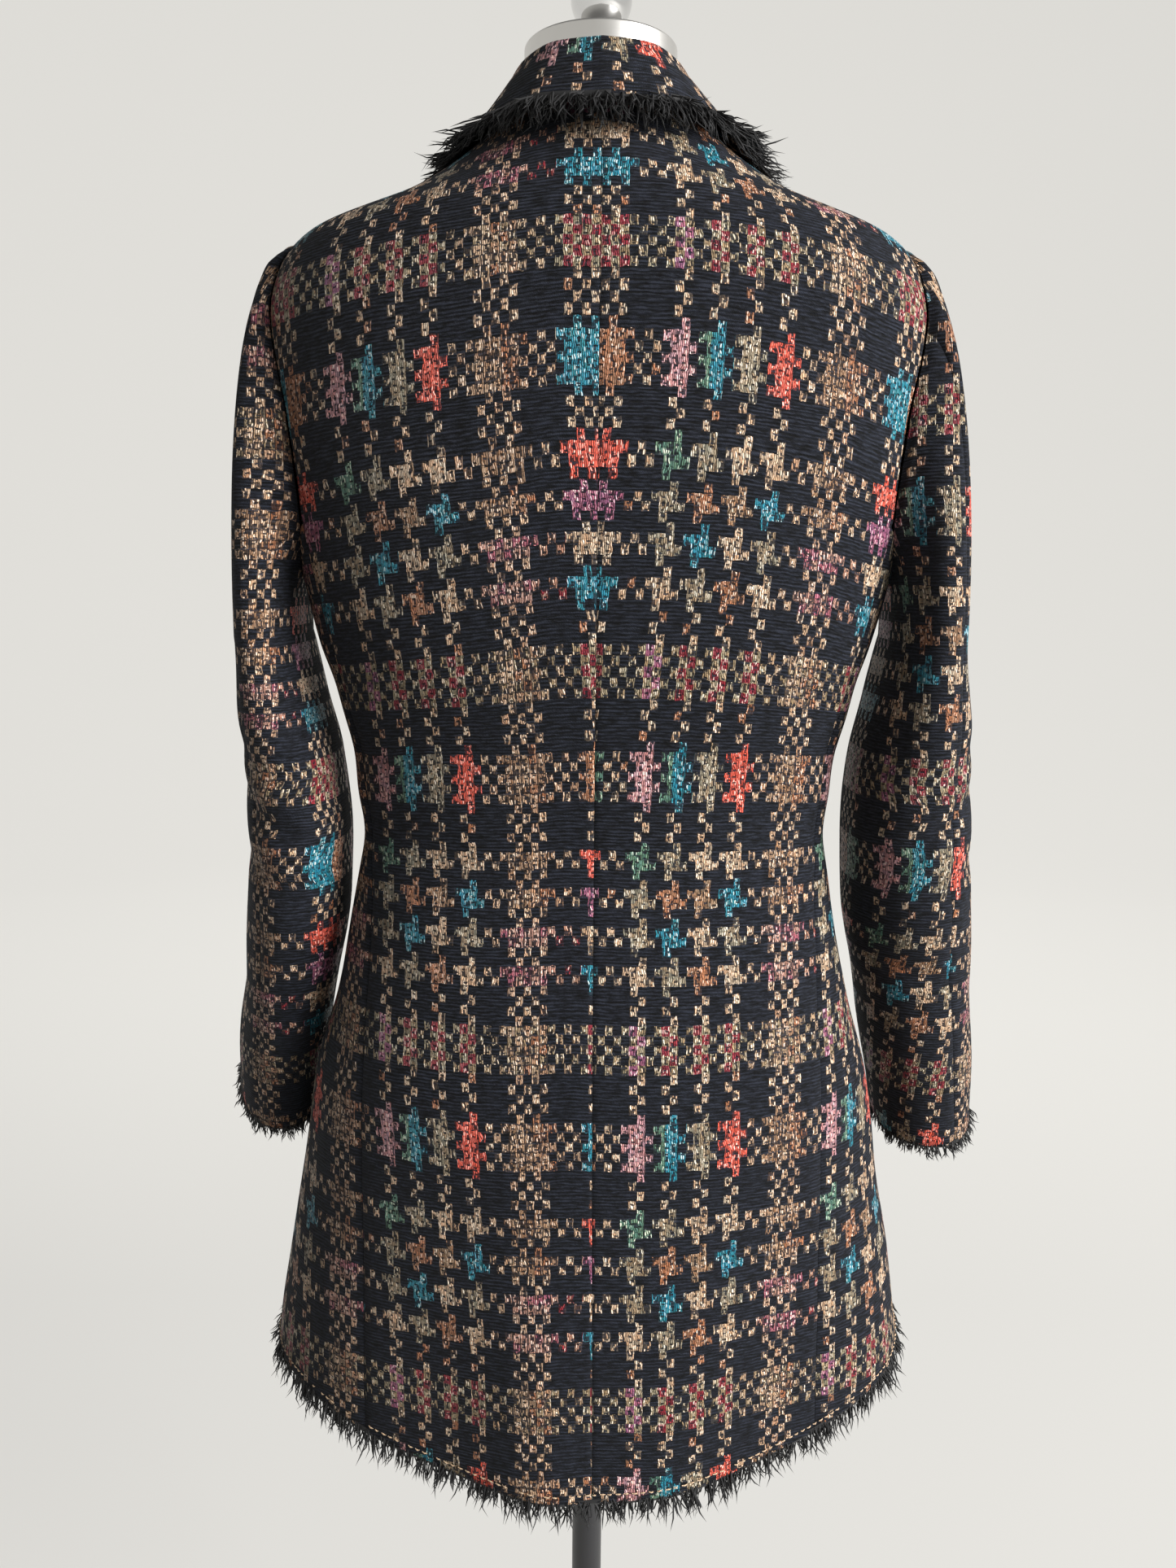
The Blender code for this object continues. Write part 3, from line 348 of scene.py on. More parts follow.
# Row of the repeat and shift of its columns at heights of each sleeve
ArmGrain = namedtuple("ArmGrain", "z row shift")
ARM_GRAIN = {
    "left": listed(ArmGrain, [
        (0.740, 125.0, 5.0),
        (0.779, 117.5, 5.0),
        (0.829, 107.5, 5.0),
        (0.863, 100.0, 4.5),
        (0.883, 96.0, 4.3),
        (0.905, 92.0, 4.0),
        (0.929, 88.0, 3.4),
        (0.981, 79.5, 2.4),
        (1.038, 69.5, 0.8),
        (1.079, 62.0, -0.6),
        (1.097, 58.0, -1.2),
        (1.119, 54.0, -1.5),
        (1.140, 50.0, -1.8),
    ]),
    "right": listed(ArmGrain, [
        (0.740, 83.8, -0.5),
        (0.826, 69.2, -0.5),
        (0.867, 62.05, -0.6),
        (0.889, 58.35, -0.7),
        (0.912, 53.95, -0.8),
        (0.934, 49.5, -0.9),
        (0.985, 41.2, -1.2),
        (1.050, 30.4, 0.0),
        (1.090, 23.6, 0.5),
        (1.220, 1.6, 1.9),
    ]),
}
# Columns of the repeat that the centre back seam takes from each side
Take = namedtuple("Take", "z columns")
CENTRE_TAKE = listed(Take, [
    (0.600, 3.90), (0.831, 3.60), (0.940, 3.40), (1.049, 3.00), (1.085, 2.65), (1.130, 2.15),
    (1.163, 1.55), (1.200, 1.20), (1.240, 0.65), (1.285, 0.20), (1.430, 0.30),
])


def length_setting(label, note, value, low, high, digits=4):
    return bpy.props.FloatProperty(name=label, description=note, default=value, min=low,
                                   max=high, unit="LENGTH", precision=digits)


def colour_setting(label, note, value):
    return bpy.props.FloatVectorProperty(name=label, description=note, default=value, size=3,
                                         min=0.0, max=1.0, subtype="COLOR")


class CoatSettings(bpy.types.PropertyGroup):
    """Sizes and colours of the coat's cloth."""
    cell_width: length_setting(
        "Cell width", "Width of one cell of the woven repeat", 0.00495, 0.001, 0.02, 5)
    cell_height: length_setting(
        "Cell height", "Height of one cell of the woven repeat", 0.00595, 0.001, 0.02, 5)
    mesh_step: length_setting(
        "Mesh step", "Spacing of the cloth's mesh lines", 0.0045, 0.002, 0.02)
    seam_dip: length_setting("Seam dip", "How deep the pressed seams lie", 0.0010, 0.0, 0.003)
    ground: colour_setting("Ground", "Chenille ground yarn", (0.0102, 0.0120, 0.0180))
    tan: colour_setting("Tan", "Tan yarn", (0.61, 0.43, 0.275))
    copper: colour_setting("Copper", "Copper brown yarn", (0.42, 0.185, 0.09))
    umber: colour_setting("Umber", "Umber yarn", (0.37, 0.22, 0.12))
    coral: colour_setting("Coral", "Coral yarn", (0.80, 0.120, 0.075))
    teal: colour_setting("Teal", "Teal yarn", (0.024, 0.25, 0.33))
    green: colour_setting("Green", "Green yarn", (0.12, 0.25, 0.17))
    olive: colour_setting("Olive", "Olive yarn", (0.35, 0.28, 0.18))
    pink: colour_setting("Pink", "Dusty pink yarn", (0.60, 0.30, 0.31))
    rose: colour_setting("Rose", "Rose yarn", (0.40, 0.12, 0.17))
    crimson: colour_setting("Crimson", "Crimson yarn", (0.27, 0.022, 0.036))
    lilac: colour_setting("Lilac", "Lilac yarn", (0.38, 0.125, 0.215))


class TrimSettings(bpy.types.PropertyGroup):
    """Sizes and colours of the fringe, buttons, form and stand."""
    hem_fringe: length_setting("Hem fringe", "Length of the hem's fringe", 0.019, 0.002, 0.1)
    collar_fringe: length_setting(
        "Collar fringe", "Length of the collar's fringe", 0.024, 0.002, 0.1)
    cuff_fringe: length_setting("Cuff fringe", "Length of the cuffs' fringe", 0.013, 0.002, 0.1)
    strands: bpy.props.IntProperty(
        name="Strands", description="Fringe strands along a metre of edge", default=2200, min=100,
        max=6000)
    fringe_colour: colour_setting("Fringe colour", "Black fringe yarn", (0.0065, 0.0065, 0.0075))
    linen: colour_setting("Form cover", "Linen of the dress form", (0.70, 0.655, 0.56))
    stand_colour: colour_setting("Stand paint", "Paint of the pole and base",
                                 (0.020, 0.020, 0.022))


# Curves through the tables
def column(table, at, key, name):
    """Smooth value of a table's column: cubic between rows, held beyond them."""
    rows = sorted(table, key=lambda row: getattr(row, key))
    keys = [getattr(row, key) for row in rows]
    vals = [getattr(row, name) for row in rows]
    if at <= keys[0]:
        return vals[0]
    if at >= keys[-1]:
        return vals[-1]
    i = max(j for j in range(len(keys) - 1) if keys[j] <= at)
    span = keys[i + 1] - keys[i]
    rise = (vals[i + 1] - vals[i]) / span
    before = (vals[i] - vals[i - 1]) / (keys[i] - keys[i - 1]) if i else rise
    after = rise
    if i + 2 < len(keys):
        after = (vals[i + 2] - vals[i + 1]) / (keys[i + 2] - keys[i + 1])
    m0 = 0.0 if before * rise <= 0.0 else 2.0 * before * rise / (before + rise)
    m1 = 0.0 if after * rise <= 0.0 else 2.0 * after * rise / (after + rise)
    if not i:
        m0 = rise
    if i + 2 >= len(keys):
        m1 = rise
    t = (at - keys[i]) / span
    a = (2 * t * t * t - 3 * t * t + 1) * vals[i] + (t * t * t - 2 * t * t + t) * span * m0
    b = (3 * t * t - 2 * t * t * t) * vals[i + 1] + (t * t * t - t * t) * span * m1
    return a + b


class Curve:
    """A table's column as a fast function of numbers or arrays."""

    def __init__(self, table, key, name):
        low = min(getattr(row, key) for row in table)
        high = max(getattr(row, key) for row in table)
        self.keys = np.linspace(low, high, 1600)
        self.vals = np.array([column(table, at, key, name) for at in self.keys])

    def __call__(self, at):
        return np.interp(at, self.keys, self.vals)


CURVES = {name: Curve(BODY, "z", name) for name in Section._fields[1:]}
ARMHOLE_CURVE = Curve(ARMHOLE, "z", "x")
ARM_CURVES = {side: {name: Curve(rows, "z", name) for name in Arm._fields[1:]}
              for side, rows in ARMS.items()}
COLLAR_CURVES = {name: Curve(COLLAR, "angle", name) for name in Fold._fields[1:]}
BODY_ROW = Curve(BODY_GRAIN, "z", "row")
ARM_ROW = {side: Curve(rows, "z", "row") for side, rows in ARM_GRAIN.items()}
ARM_SHIFT = {side: Curve(rows, "z", "shift") for side, rows in ARM_GRAIN.items()}
DROOPS = [Curve(DROOP, "x", name) for name in Droop._fields[1:]]
YOKE_ROW = Curve(YOKE_DRIFT, "plain", "row")
TAKE = Curve(CENTRE_TAKE, "z", "columns")
SHOULDER_HEIGHTS = np.linspace(SHOULDER_Z, NAPE_Z, 600)
SHOULDER_HALVES = CURVES["half"](SHOULDER_HEIGHTS)


def blend(low, high, value):
    share = np.clip((value - low) / (high - low), 0.0, 1.0)
    return share * share * (3.0 - 2.0 * share)


def mix(a, b, share):
    return a + (b - a) * share


def stack(x, y, z):
    return np.stack(np.broadcast_arrays(x, y, z), axis=-1)


def unit(vectors):
    return vectors / np.maximum(np.linalg.norm(vectors, axis=-1, keepdims=True), 1e-12)


def power(value, exponent):
    """Signed power, which makes the rounded section of a superellipse."""
    return np.sign(value) * np.abs(value) ** exponent


# Surface of the coat's body
def shoulder_z(x):
    return np.interp(-x, -SHOULDER_HALVES, SHOULDER_HEIGHTS)


def angle_at(x, z):
    """Angle from the centre back at which the section at z reaches x."""
    share = np.minimum(1.0, np.abs(x) / CURVES["half"](z))
    return np.sign(x) * np.arcsin(share ** (CURVES["round"](z) / 2.0))


def flutes(angle, z):
    """Outward depth of the skirt's soft flutes."""
    total = np.zeros(np.broadcast(angle, z).shape)
    for row in FLUTES:
        off = (np.degrees(angle) - row.angle + 180.0) % 360.0 - 180.0
        total = total + row.depth * blend(row.top, HEM_Z, z) * np.exp(-((off / row.breadth) ** 2))
    return total


def ripple(angle, z):
    """Slight unevenness of hanging cloth, the same on both sides of each seam."""
    deg = np.degrees(angle)
    soft = 0.0006 * np.sin(deg * 0.105 + z * 21.0 + 0.6) * np.sin(z * 47.0 + deg * 0.03)
    drag = 0.0008 * np.sin(z * 120.0 + np.abs(deg) * 0.05) * np.exp(-(((z - 1.03) / 0.07) ** 2))
    drag = drag * np.exp(-(((np.abs(deg) - 74.0) / 26.0) ** 2))
    pucker = 0.0004 * np.sin(z * 410.0) * np.exp(-((deg / 3.2) ** 2)) * blend(1.36, 1.28, z)
    return soft + drag + pucker


def bare_body(angle, z):
    half, back, front = CURVES["half"](z), CURVES["back"](z), CURVES["front"](z)
    x = half * power(np.sin(angle), 2.0 / CURVES["round"](z))
    reach = np.where(np.cos(angle) > 0.0, back, front)
    return stack(x, CURVES["mid"](z) - reach * np.cos(angle), z)


def outward(angle, z):
    """Unit normal of the bare surface, found from close neighbours."""
    da, dz = 0.01, 0.002
    across = bare_body(angle + da, z) - bare_body(angle - da, z)
    along = bare_body(angle, z + dz) - bare_body(angle, z - dz)
    normal = np.cross(across, along)
    here = bare_body(angle, z)
    centre = stack(0.0 * z, CURVES["mid"](z), z)
    flip = np.where(np.sum(normal * (here - centre), axis=-1, keepdims=True) < 0.0, -1.0, 1.0)
    return unit(normal * flip)


def on_body(angle, z, out=0.0):
    """Point of the coat's inside surface, moved out by the given amount."""
    angle, z = np.asarray(angle, float), np.asarray(z, float)
    lift = out + flutes(angle, z) + ripple(angle, z)
    point = bare_body(angle, z) + outward(angle, z) * np.asarray(lift)[..., None]
    turn = np.radians(CURVES["turn"](z))
    c, s = np.cos(turn), np.sin(turn)
    return stack(point[..., 0] * c - point[..., 1] * s, point[..., 0] * s + point[..., 1] * c,
                 point[..., 2])


def hem_drop(angle, z):
    return z + HEM_RISE * np.sin(angle) ** 2 * blend(0.84, HEM_Z, z)


def neck_top(x, front):
    """Height of the panel's top line at x: neckline, then the shoulder line."""
    share = np.clip(x, 0.0, NECK_HALF) / NECK_HALF
    dip = mix(FRONT_NECK_Z, NAPE_Z, 1.0 - np.sqrt(np.maximum(0.0, 1.0 - share ** 2.4)))
    neck = dip if front else NAPE_Z + 0.0 * share
    return np.where(x >= NECK_HALF, shoulder_z(x), neck)


def lap_lift(x, side, front):
    if not front or side < 0:
        return 0.0 * x
    return LAP_LIFT * blend(0.050, 0.026, x)


def press(width, dip, first=True, last=True):
    """Inward dip along the pressed seams at the first and last column of a piece."""
    whole = width[:, -1:]
    part = width / whole
    near = np.exp(-((part * whole / PRESS_WIDTH) ** 2)) if first else 0.0
    far = np.exp(-(((1.0 - part) * whole / PRESS_WIDTH) ** 2)) if last else 0.0
    return -dip * (near + far)


def lengths_along(grid, axis, flat):
    """Running length along an axis of a grid of points, leaving out one coordinate."""
    steps = np.diff(grid, axis=axis)
    steps[..., flat] = 0.0
    run = np.cumsum(np.linalg.norm(steps, axis=-1), axis=axis)
    pad = [(0, 0), (0, 0)]
    pad[axis] = (1, 0)
    return np.pad(run, pad)


def droop(x, z):
    """Rows by which the cloth lies lower at a place of the body than at its middle."""
    yoke, waist, skirt = (rows(np.clip(x, DROOP[0].x, DROOP[-1].x)) for rows in DROOPS)
    return mix(mix(skirt, waist, blend(0.99, 1.05, z)), yoke, blend(1.05, 1.12, z))


def body_panel(side, front, settings):
    """Grid of points and cloth coordinates of a back or front, from the hem up."""
    wide = int(PANEL_WIDTH / settings.mesh_step)
    low = int((SIDE_SEAM_TOP_Z - HEM_Z) / settings.mesh_step)
    top = int(YOKE_LENGTH / settings.mesh_step)
    start = -LAP if front else CENTRE_GAP
    part = np.linspace(0.0, 1.0, wide + 1)[None, :]
    z_row = mix(HEM_Z, SIDE_SEAM_TOP_Z, np.linspace(0.0, 1.0, low + 1))[:, None]
    x_low = mix(start, CURVES["seam"](z_row) - SEAM / 2.0, part)
    a_low = angle_at(x_low, z_row)
    share = np.linspace(0.0, 1.0, top + 1)[1:, None]
    z_edge = mix(SIDE_SEAM_TOP_Z, SHOULDER_Z, share)
    x_high = mix(start, ARMHOLE_CURVE(z_edge) - SEAM, part)
    x_top = mix(start, ARMHOLE_CURVE(SHOULDER_Z) - SEAM, part)
    z_high = mix(SIDE_SEAM_TOP_Z, neck_top(x_top, front) + 0.0 * share, share)
    reach = CURVES["front" if front else "back"](z_high)
    a_high = np.minimum(angle_at(x_high, z_high), np.arccos(CENTRE_GAP / reach))
    if front:
        a_low, a_high = math.pi - a_low, math.pi - a_high
    z_low = hem_drop(side * a_low, z_row + 0.0 * part)
    x = np.vstack([x_low + 0.0 * z_row, x_high + 0.0 * z_high])
    angle = side * np.vstack([a_low, a_high])
    z = np.vstack([z_low, z_high])
    lift = lap_lift(x, side, front)
    width = lengths_along(on_body(angle, z, lift), 1, 2)
    dip = press(width, settings.seam_dip, first=False)
    if not front:
        dip = dip + press(width, settings.seam_dip * CENTRE_DIP, last=False) * blend(1.20, 1.08, z)
    fade = blend(SHOULDER_Z, SIDE_SEAM_TOP_Z, z)
    grid = on_body(angle, z, WALL + lift + dip * mix(0.5, 1.0, fade))
    level = z[:, :1]
    u = width / settings.cell_width
    if front:
        u = FRONT_COLUMN - side * u
    else:
        slack = SHOULDER_SLACK[side] * blend(1.28, 1.33, level)
        if side == LEFT:
            u = u * (1.0 + LEFT_SPREAD * blend(0.90, 0.78, level))
        u = BACK_COLUMN + side * (TAKE(level) - slack + u)
    climb = lengths_along(grid, 0, 0) / settings.cell_height
    rows = np.where(np.arange(low + top + 1)[:, None] <= low, BODY_ROW(z), 0.0)
    rows[low + 1:] = rows[low] - (climb[low + 1:] - climb[low])
    rows = YOKE_ROW(rows) - droop(grid[..., 0], grid[..., 2])
    return grid, np.stack([u, rows], axis=-1)


def side_panel(side, settings):
    """Grid of the panel under the arm, between the two long seams."""
    wide = int(SIDE_WIDTH / settings.mesh_step)
    low = int((SIDE_SEAM_TOP_Z - HEM_Z) / settings.mesh_step)
    part = np.linspace(0.0, 1.0, wide + 1)[None, :]
    share = np.linspace(0.0, 1.0, low + 1)[:, None]
    bow = 1.0 - (2.0 * part - 1.0) ** 2
    foot_z = SIDE_SEAM_TOP_Z - (SIDE_SEAM_TOP_Z - UNDERARM_Z) * bow
    edge = angle_at(ARMHOLE_CURVE(foot_z), foot_z)
    foot = np.where(part < 0.5, edge, math.pi - edge)
    z_row = mix(HEM_Z, SIDE_SEAM_TOP_Z, share)
    z = z_row - (SIDE_SEAM_TOP_Z - UNDERARM_Z) * blend(0.66, 1.0, share) * bow
    near = angle_at(CURVES["seam"](z_row) + SEAM / 2.0, z_row)
    plain = mix(near, math.pi - near, part)
    inner = mix(plain, foot, blend(0.72, 1.0, share))
    angle = np.where((part <= 0.0) | (part >= 1.0), plain, inner)
    z = hem_drop(side * angle, z)
    width = lengths_along(on_body(side * angle, z), 1, 2)
    grid = on_body(side * angle, z, WALL + press(width, settings.seam_dip))
    u = SIDE_COLUMN[side] + side * width / settings.cell_width
    rows = BODY_ROW(z) - droop(grid[..., 0], grid[..., 2])
    return grid, np.stack([u, rows], axis=-1)


# Surface of the sleeves
def armhole_point(turn, side):
    """Point of the armhole's edge: turn 0 at the shoulder, 90 behind, 180 at the underarm."""
    t = np.radians(turn)
    z = (SHOULDER_Z + UNDERARM_Z) / 2.0 + (SHOULDER_Z - UNDERARM_Z) / 2.0 * np.cos(t)
    angle = angle_at(ARMHOLE_CURVE(z), z)
    angle = np.where(np.sin(t) < 0.0, math.pi - angle, angle)
    point = bare_body(angle, z)
    point[..., 0] += SEAM + WALL * np.maximum(0.0, outward(angle, z)[..., 0])
    point[..., 0] *= side
    return point


def arm_centre(name, z):
    return stack(SIDES[name] * ARM_CURVES[name]["x"](z), ARM_CURVES[name]["y"](z), z)


def arm_core(name, points):
    """Middle of the sleeve level with each point, drawn in to the shoulder above the tube."""
    z = points[..., 2]
    x = mix(ARM_CURVES[name]["x"](z), CAP_MIDDLE_X, blend(TUBE_TOP_Z, CAP_MIDDLE_Z, z))
    return stack(SIDES[name] * x, ARM_CURVES[name]["y"](z), np.minimum(z, 1.30))


def arm_ring(name, z, turn):
    """Point of a level sleeve section: turn 0 outside, 90 behind, 180 inside."""
    curves = ARM_CURVES[name]
    t = np.radians(turn)
    px = curves["across"](z) * power(np.cos(t), 2.0 / ARM_ROUND)
    py = -curves["deep"](z) * power(np.sin(t), 2.0 / ARM_ROUND)
    a = np.radians(curves["turn"](z))
    x = curves["x"](z) + px * np.cos(a) - py * np.sin(a)
    y = curves["y"](z) + px * np.sin(a) + py * np.cos(a)
    return stack(SIDES[name] * x, y, z)


def sleeve_folds(z, turn):
    """Creases behind the elbow and slight slack along the arm."""
    total = 0.0 * (z + turn)
    for row in CREASES:
        off = (turn - row.angle + 180.0) % 360.0 - 180.0
        line = row.z - row.slant * off / 60.0
        depth = row.depth * np.exp(-(((z - line) / 0.011) ** 2))
        total = total - depth * np.exp(-((off / 50.0) ** 2))
    t = np.radians(turn)
    return total + 0.0009 * np.sin(z * 62.0 + 2.0 * np.sin(t)) * np.sin(2.0 * t + z * 9.0)


def sleeve_grid(name, level, turn, out):
    """Points of a sleeve: level 0 to 1 is the cap, 1 to 2 the tube down to the cuff."""
    side, top = SIDES[name], ARMS[name][0].z
    t = np.radians(turn)
    v = np.minimum(level, 1.0)
    start, end = armhole_point(turn, side), arm_ring(name, top + 0.0 * turn, turn)
    long = np.linalg.norm(end - start, axis=-1, keepdims=True)
    up, low = np.maximum(0.0, np.cos(t)), np.maximum(0.0, -np.cos(t))
    lead = stack(side + 0.0 * t, -0.25 * np.sin(t), -0.30 * up - 0.45 * (1.0 - up) * (1.0 - low))
    lead = unit(lead) * long * (0.45 - 0.15 * up + 0.30 * low)[..., None]
    fall = stack(0.0 * t, 0.0 * t, -1.0 + 0.0 * t) * long * (1.25 - 0.25 * low)[..., None]
    w = v[..., None]
    cap = start * (2 * w ** 3 - 3 * w ** 2 + 1) + lead * (w ** 3 - 2 * w ** 2 + w)
    cap = cap + end * (3 * w ** 2 - 2 * w ** 3) + fall * (w ** 3 - w ** 2)
    cap[..., 2] += PUFF * up ** 2 * np.sin(math.pi * np.minimum(1.0, v * 2.4)) * (v < 0.42)
    z = mix(top, CUFF_Z[name] - CUFF_TILT * np.sin(t), np.clip(level - 1.0, 0.0, 1.0))
    ring = arm_ring(name, z, turn)
    ring = ring + unit(ring - arm_centre(name, z)) * sleeve_folds(z, turn)[..., None]
    points = np.where((level <= 1.0)[..., None], cap, ring)
    normal = unit(np.cross(np.gradient(points, axis=1), np.gradient(points, axis=0)))
    facing = np.sign(np.sum(normal * (points - arm_core(name, points)), axis=-1))
    normal = normal * np.where(np.median(facing) < 0.0, -1.0, 1.0)
    ease = 0.0011 * np.sin(np.radians(turn * 16.0)) * up * np.exp(-(((v - 0.14) / 0.10) ** 2))
    return points + normal * (out * blend(0.0, 0.10, level) + ease)[..., None]


def sleeve_piece(name, first, last, settings, outer):
    """Grid and cloth coordinates of a top sleeve or an under sleeve."""
    step = settings.mesh_step
    wide = int((last - first) / 360.0 * ARM_GIRTH / step)
    turn = np.linspace(first + 0.12, last - 0.12, wide + 1)[None, :]
    cap = np.linspace(0.0, 1.0, int(CAP_LENGTH / step)) ** 1.25
    tube = np.linspace(1.0, 2.0, int(TUBE_LENGTH / step))[1:]
    level = np.concatenate([cap, tube])[:, None]
    turn, level = np.broadcast_arrays(turn, level)
    width = lengths_along(sleeve_grid(name, level, turn, WALL), 1, 2)
    grid = sleeve_grid(name, level, turn, WALL + press(width, settings.seam_dip))
    z = grid[..., 2]
    seam = -1 if outer else 0
    round_arm = (width[:, seam:][:, :1] - width) / settings.cell_width
    drift = (np.abs(grid[:, seam, 0]) - ARM_SEAM_X)[:, None] / settings.cell_width
    u = ARM_COLUMN[name] + SIDES[name] * drift + SIDES[name] * round_arm
    u = u + ARM_SHIFT[name](np.clip(z, ARM_GRAIN[name][0].z, ARM_GRAIN[name][-1].z))
    if outer and name == "right":
        u = u + TOP_SLEEVE_SHIFT * blend(1.10, 1.02, z)
    rows = ARM_ROW[name](np.minimum(z, TUBE_TOP_Z))
    climb = lengths_along(grid, 0, 0) / settings.cell_height
    foot = len(cap) - 1
    rows[:foot] = rows[foot] - (climb[foot] - climb[:foot])
    return grid, np.stack([u, rows], axis=-1)


# Surface of the collar
def neck_ring(angle):
    """Neckline of the coat's inside, from the centre back round to the centre front."""
    a = abs(angle)
    x = NECK_HALF * math.sin(a) ** (2.0 / float(CURVES["round"](NAPE_Z)))
    if a <= math.pi / 2.0:
        y = CURVES["mid"](NAPE_Z) - CURVES["back"](NAPE_Z) * math.cos(a)
        return Vector((math.copysign(x, angle), float(y), NAPE_Z))
    z = float(neck_top(x, True))
    y = float(bare_body(math.pi - angle_at(x, z), z)[1])
    return Vector((math.copysign(x, angle), y, z))


def body_level(point):
    """Signed measure of a point against the coat's section at its height, zero on the surface."""
    z = min(point[2], NAPE_Z)
    half, mid = CURVES["half"](z), CURVES["mid"](z)
    reach = CURVES["back"](z) if point[1] < mid else CURVES["front"](z)
    return (abs(point[0]) / half) ** CURVES["round"](z) + ((point[1] - mid) / reach) ** 2 - 1.0


def push_clear(point, clear):
    """Moves a point out of the coat's body until it is clear of the inside surface."""
    p = Vector(point)
    for _ in range(12):
        if p.z >= NAPE_Z + clear:
            break
        step = 0.0005
        here = body_level(p)
        slope = Vector((0.0, 0.0, 0.0))
        for axis in range(3):
            q = p.copy()
            q[axis] += step
            slope[axis] = (body_level(q) - here) / step
        if abs(p.x) < 1e-6:
            slope.x = 0.0
        short = clear - here / max(1.0, slope.length)
        if short <= 0.0001:
            break
        p += slope.normalized() * min(short, 0.004)
    return p


def collar_section(angle_deg, fine=10):
    """Points of the collar's inside from the neck seam over the fold to the free edge."""
    side = 1.0 if angle_deg >= 0.0 else -1.0
    at, last = abs(angle_deg), COLLAR[-1].angle
    fold, edge = (Vector([float(COLLAR_CURVES[f"{line}_{axis}"](at)) for axis in "xyz"])
                  for line in ("fold", "edge"))
    seam = neck_ring(math.radians(at / last * COLLAR_TURN))
    edge.x += side * COLLAR_SHIFT * float(blend(0.0, 30.0, last - at))
    flat = Vector((edge.x - fold.x, edge.y - fold.y, 0.0)).normalized()
    rise = (fold - seam).normalized()
    low = min(seam.z, NAPE_Z - 0.003)
    lean = Vector(outward(max(0.01, float(angle_at(seam.x, low))), NAPE_Z - 0.003))
    start = WALL * max(0.4, lean.dot(rise)) + 1.5 * SEAM
    start += STAND_LIFT * float(blend(60.0, 100.0, at))
    points = [seam + rise * start]
    for share in (0.2, 0.4, 0.6, 0.8):
        points.append(seam.lerp(fold, share) + flat * 0.0009 * math.sin(math.pi * share))
    for turn in range(0, 181, 20):
        t = math.radians(turn)
        over = fold + flat * (FOLD_R - FOLD_R * math.cos(t))
        points.append(over + Vector((0, 0, FOLD_R * math.sin(t))))
    outer = fold + flat * 2.0 * FOLD_R
    sag = mix(0.0015, -0.0030, float(blend(50.0, 90.0, at)))
    bend = outer.lerp(edge, 0.45) + Vector((0.0, 0.0, sag))
    for i in range(1, fine + 1):
        part = i / fine
        fall = outer.lerp(bend, part).lerp(bend.lerp(edge, part), part)
        points.append(push_clear(fall, COLLAR_CLEAR))
    return np.array([(side * p.x, p.y, p.z) for p in points])


def collar_piece(settings):
    """Grid, cloth coordinates and normals of the collar, from the neck seam to the free edge."""
    end = COLLAR[-1].angle
    angles = np.linspace(-end, end, 151)
    centre = len(angles) // 2
    inside = np.stack([collar_section(a) for a in angles], axis=1)
    normal = unit(np.cross(np.gradient(inside, axis=1), np.gradient(inside, axis=0)))
    if normal[-3, centre, 2] < 0.0:
        normal = -normal
    wave = 0.0006 * np.sin(np.radians(angles) * 5.0 + 0.4)[None, :, None]
    fall = np.linspace(0.0, 1.0, len(inside))[:, None, None] ** 2
    grid = inside + normal * (WALL + wave * fall)
    long = lengths_along(grid, 0, 0)
    round_neck = lengths_along(grid[-8:-7], 1, 2)
    round_neck = round_neck - round_neck[0, centre]
    apex = (long[9:10] + long[10:11]) / 2.0
    u = COLLAR_COLUMN + round_neck / settings.cell_width + 0.0 * long
    v = COLLAR_ROW + (long - apex) / settings.cell_height
    return grid, np.stack([u, v], axis=-1), normal


# Meshes
def add_object(name, data):
    obj = bpy.data.objects.new(name, data)
    bpy.context.scene.collection.objects.link(obj)
    return obj


def new_piece(name, verts, faces, finish):
    """Smooth piece of one material."""
    mesh = bpy.data.meshes.new(name)
    mesh.from_pydata([tuple(map(float, v)) for v in verts], [], [tuple(map(int, f)) for f in faces])
    mesh.materials.append(bpy.data.materials[finish])
    mesh.polygons.foreach_set("use_smooth", [True] * len(mesh.polygons))
    return add_object(name, mesh)


def grid_faces(rows, cols):
    r, c = np.meshgrid(np.arange(rows - 1), np.arange(cols - 1), indexing="ij")
    a = (r * cols + c).ravel()
    return np.stack([a, a + 1, a + 1 + cols, a + cols], axis=1)


def ring_faces(rings, steps, start=0):
    """Quads between closed rings of points, from the given point on."""
    quads = []
    for r in range(rings - 1):
        low, high = start + r * steps, start + (r + 1) * steps
        for k in range(steps):
            m = (k + 1) % steps
            quads.append((low + k, low + m, high + m, high + k))
    return quads


def face_out(obj, merge=0.0):
    """Turns the faces outward, after merging points closer than the given distance."""
    bm = bmesh.new()
    bm.from_mesh(obj.data)
    if merge:
        bmesh.ops.remove_doubles(bm, verts=bm.verts, dist=merge)
    bmesh.ops.recalc_face_normals(bm, faces=bm.faces)
    bm.to_mesh(obj.data)
    bm.free()


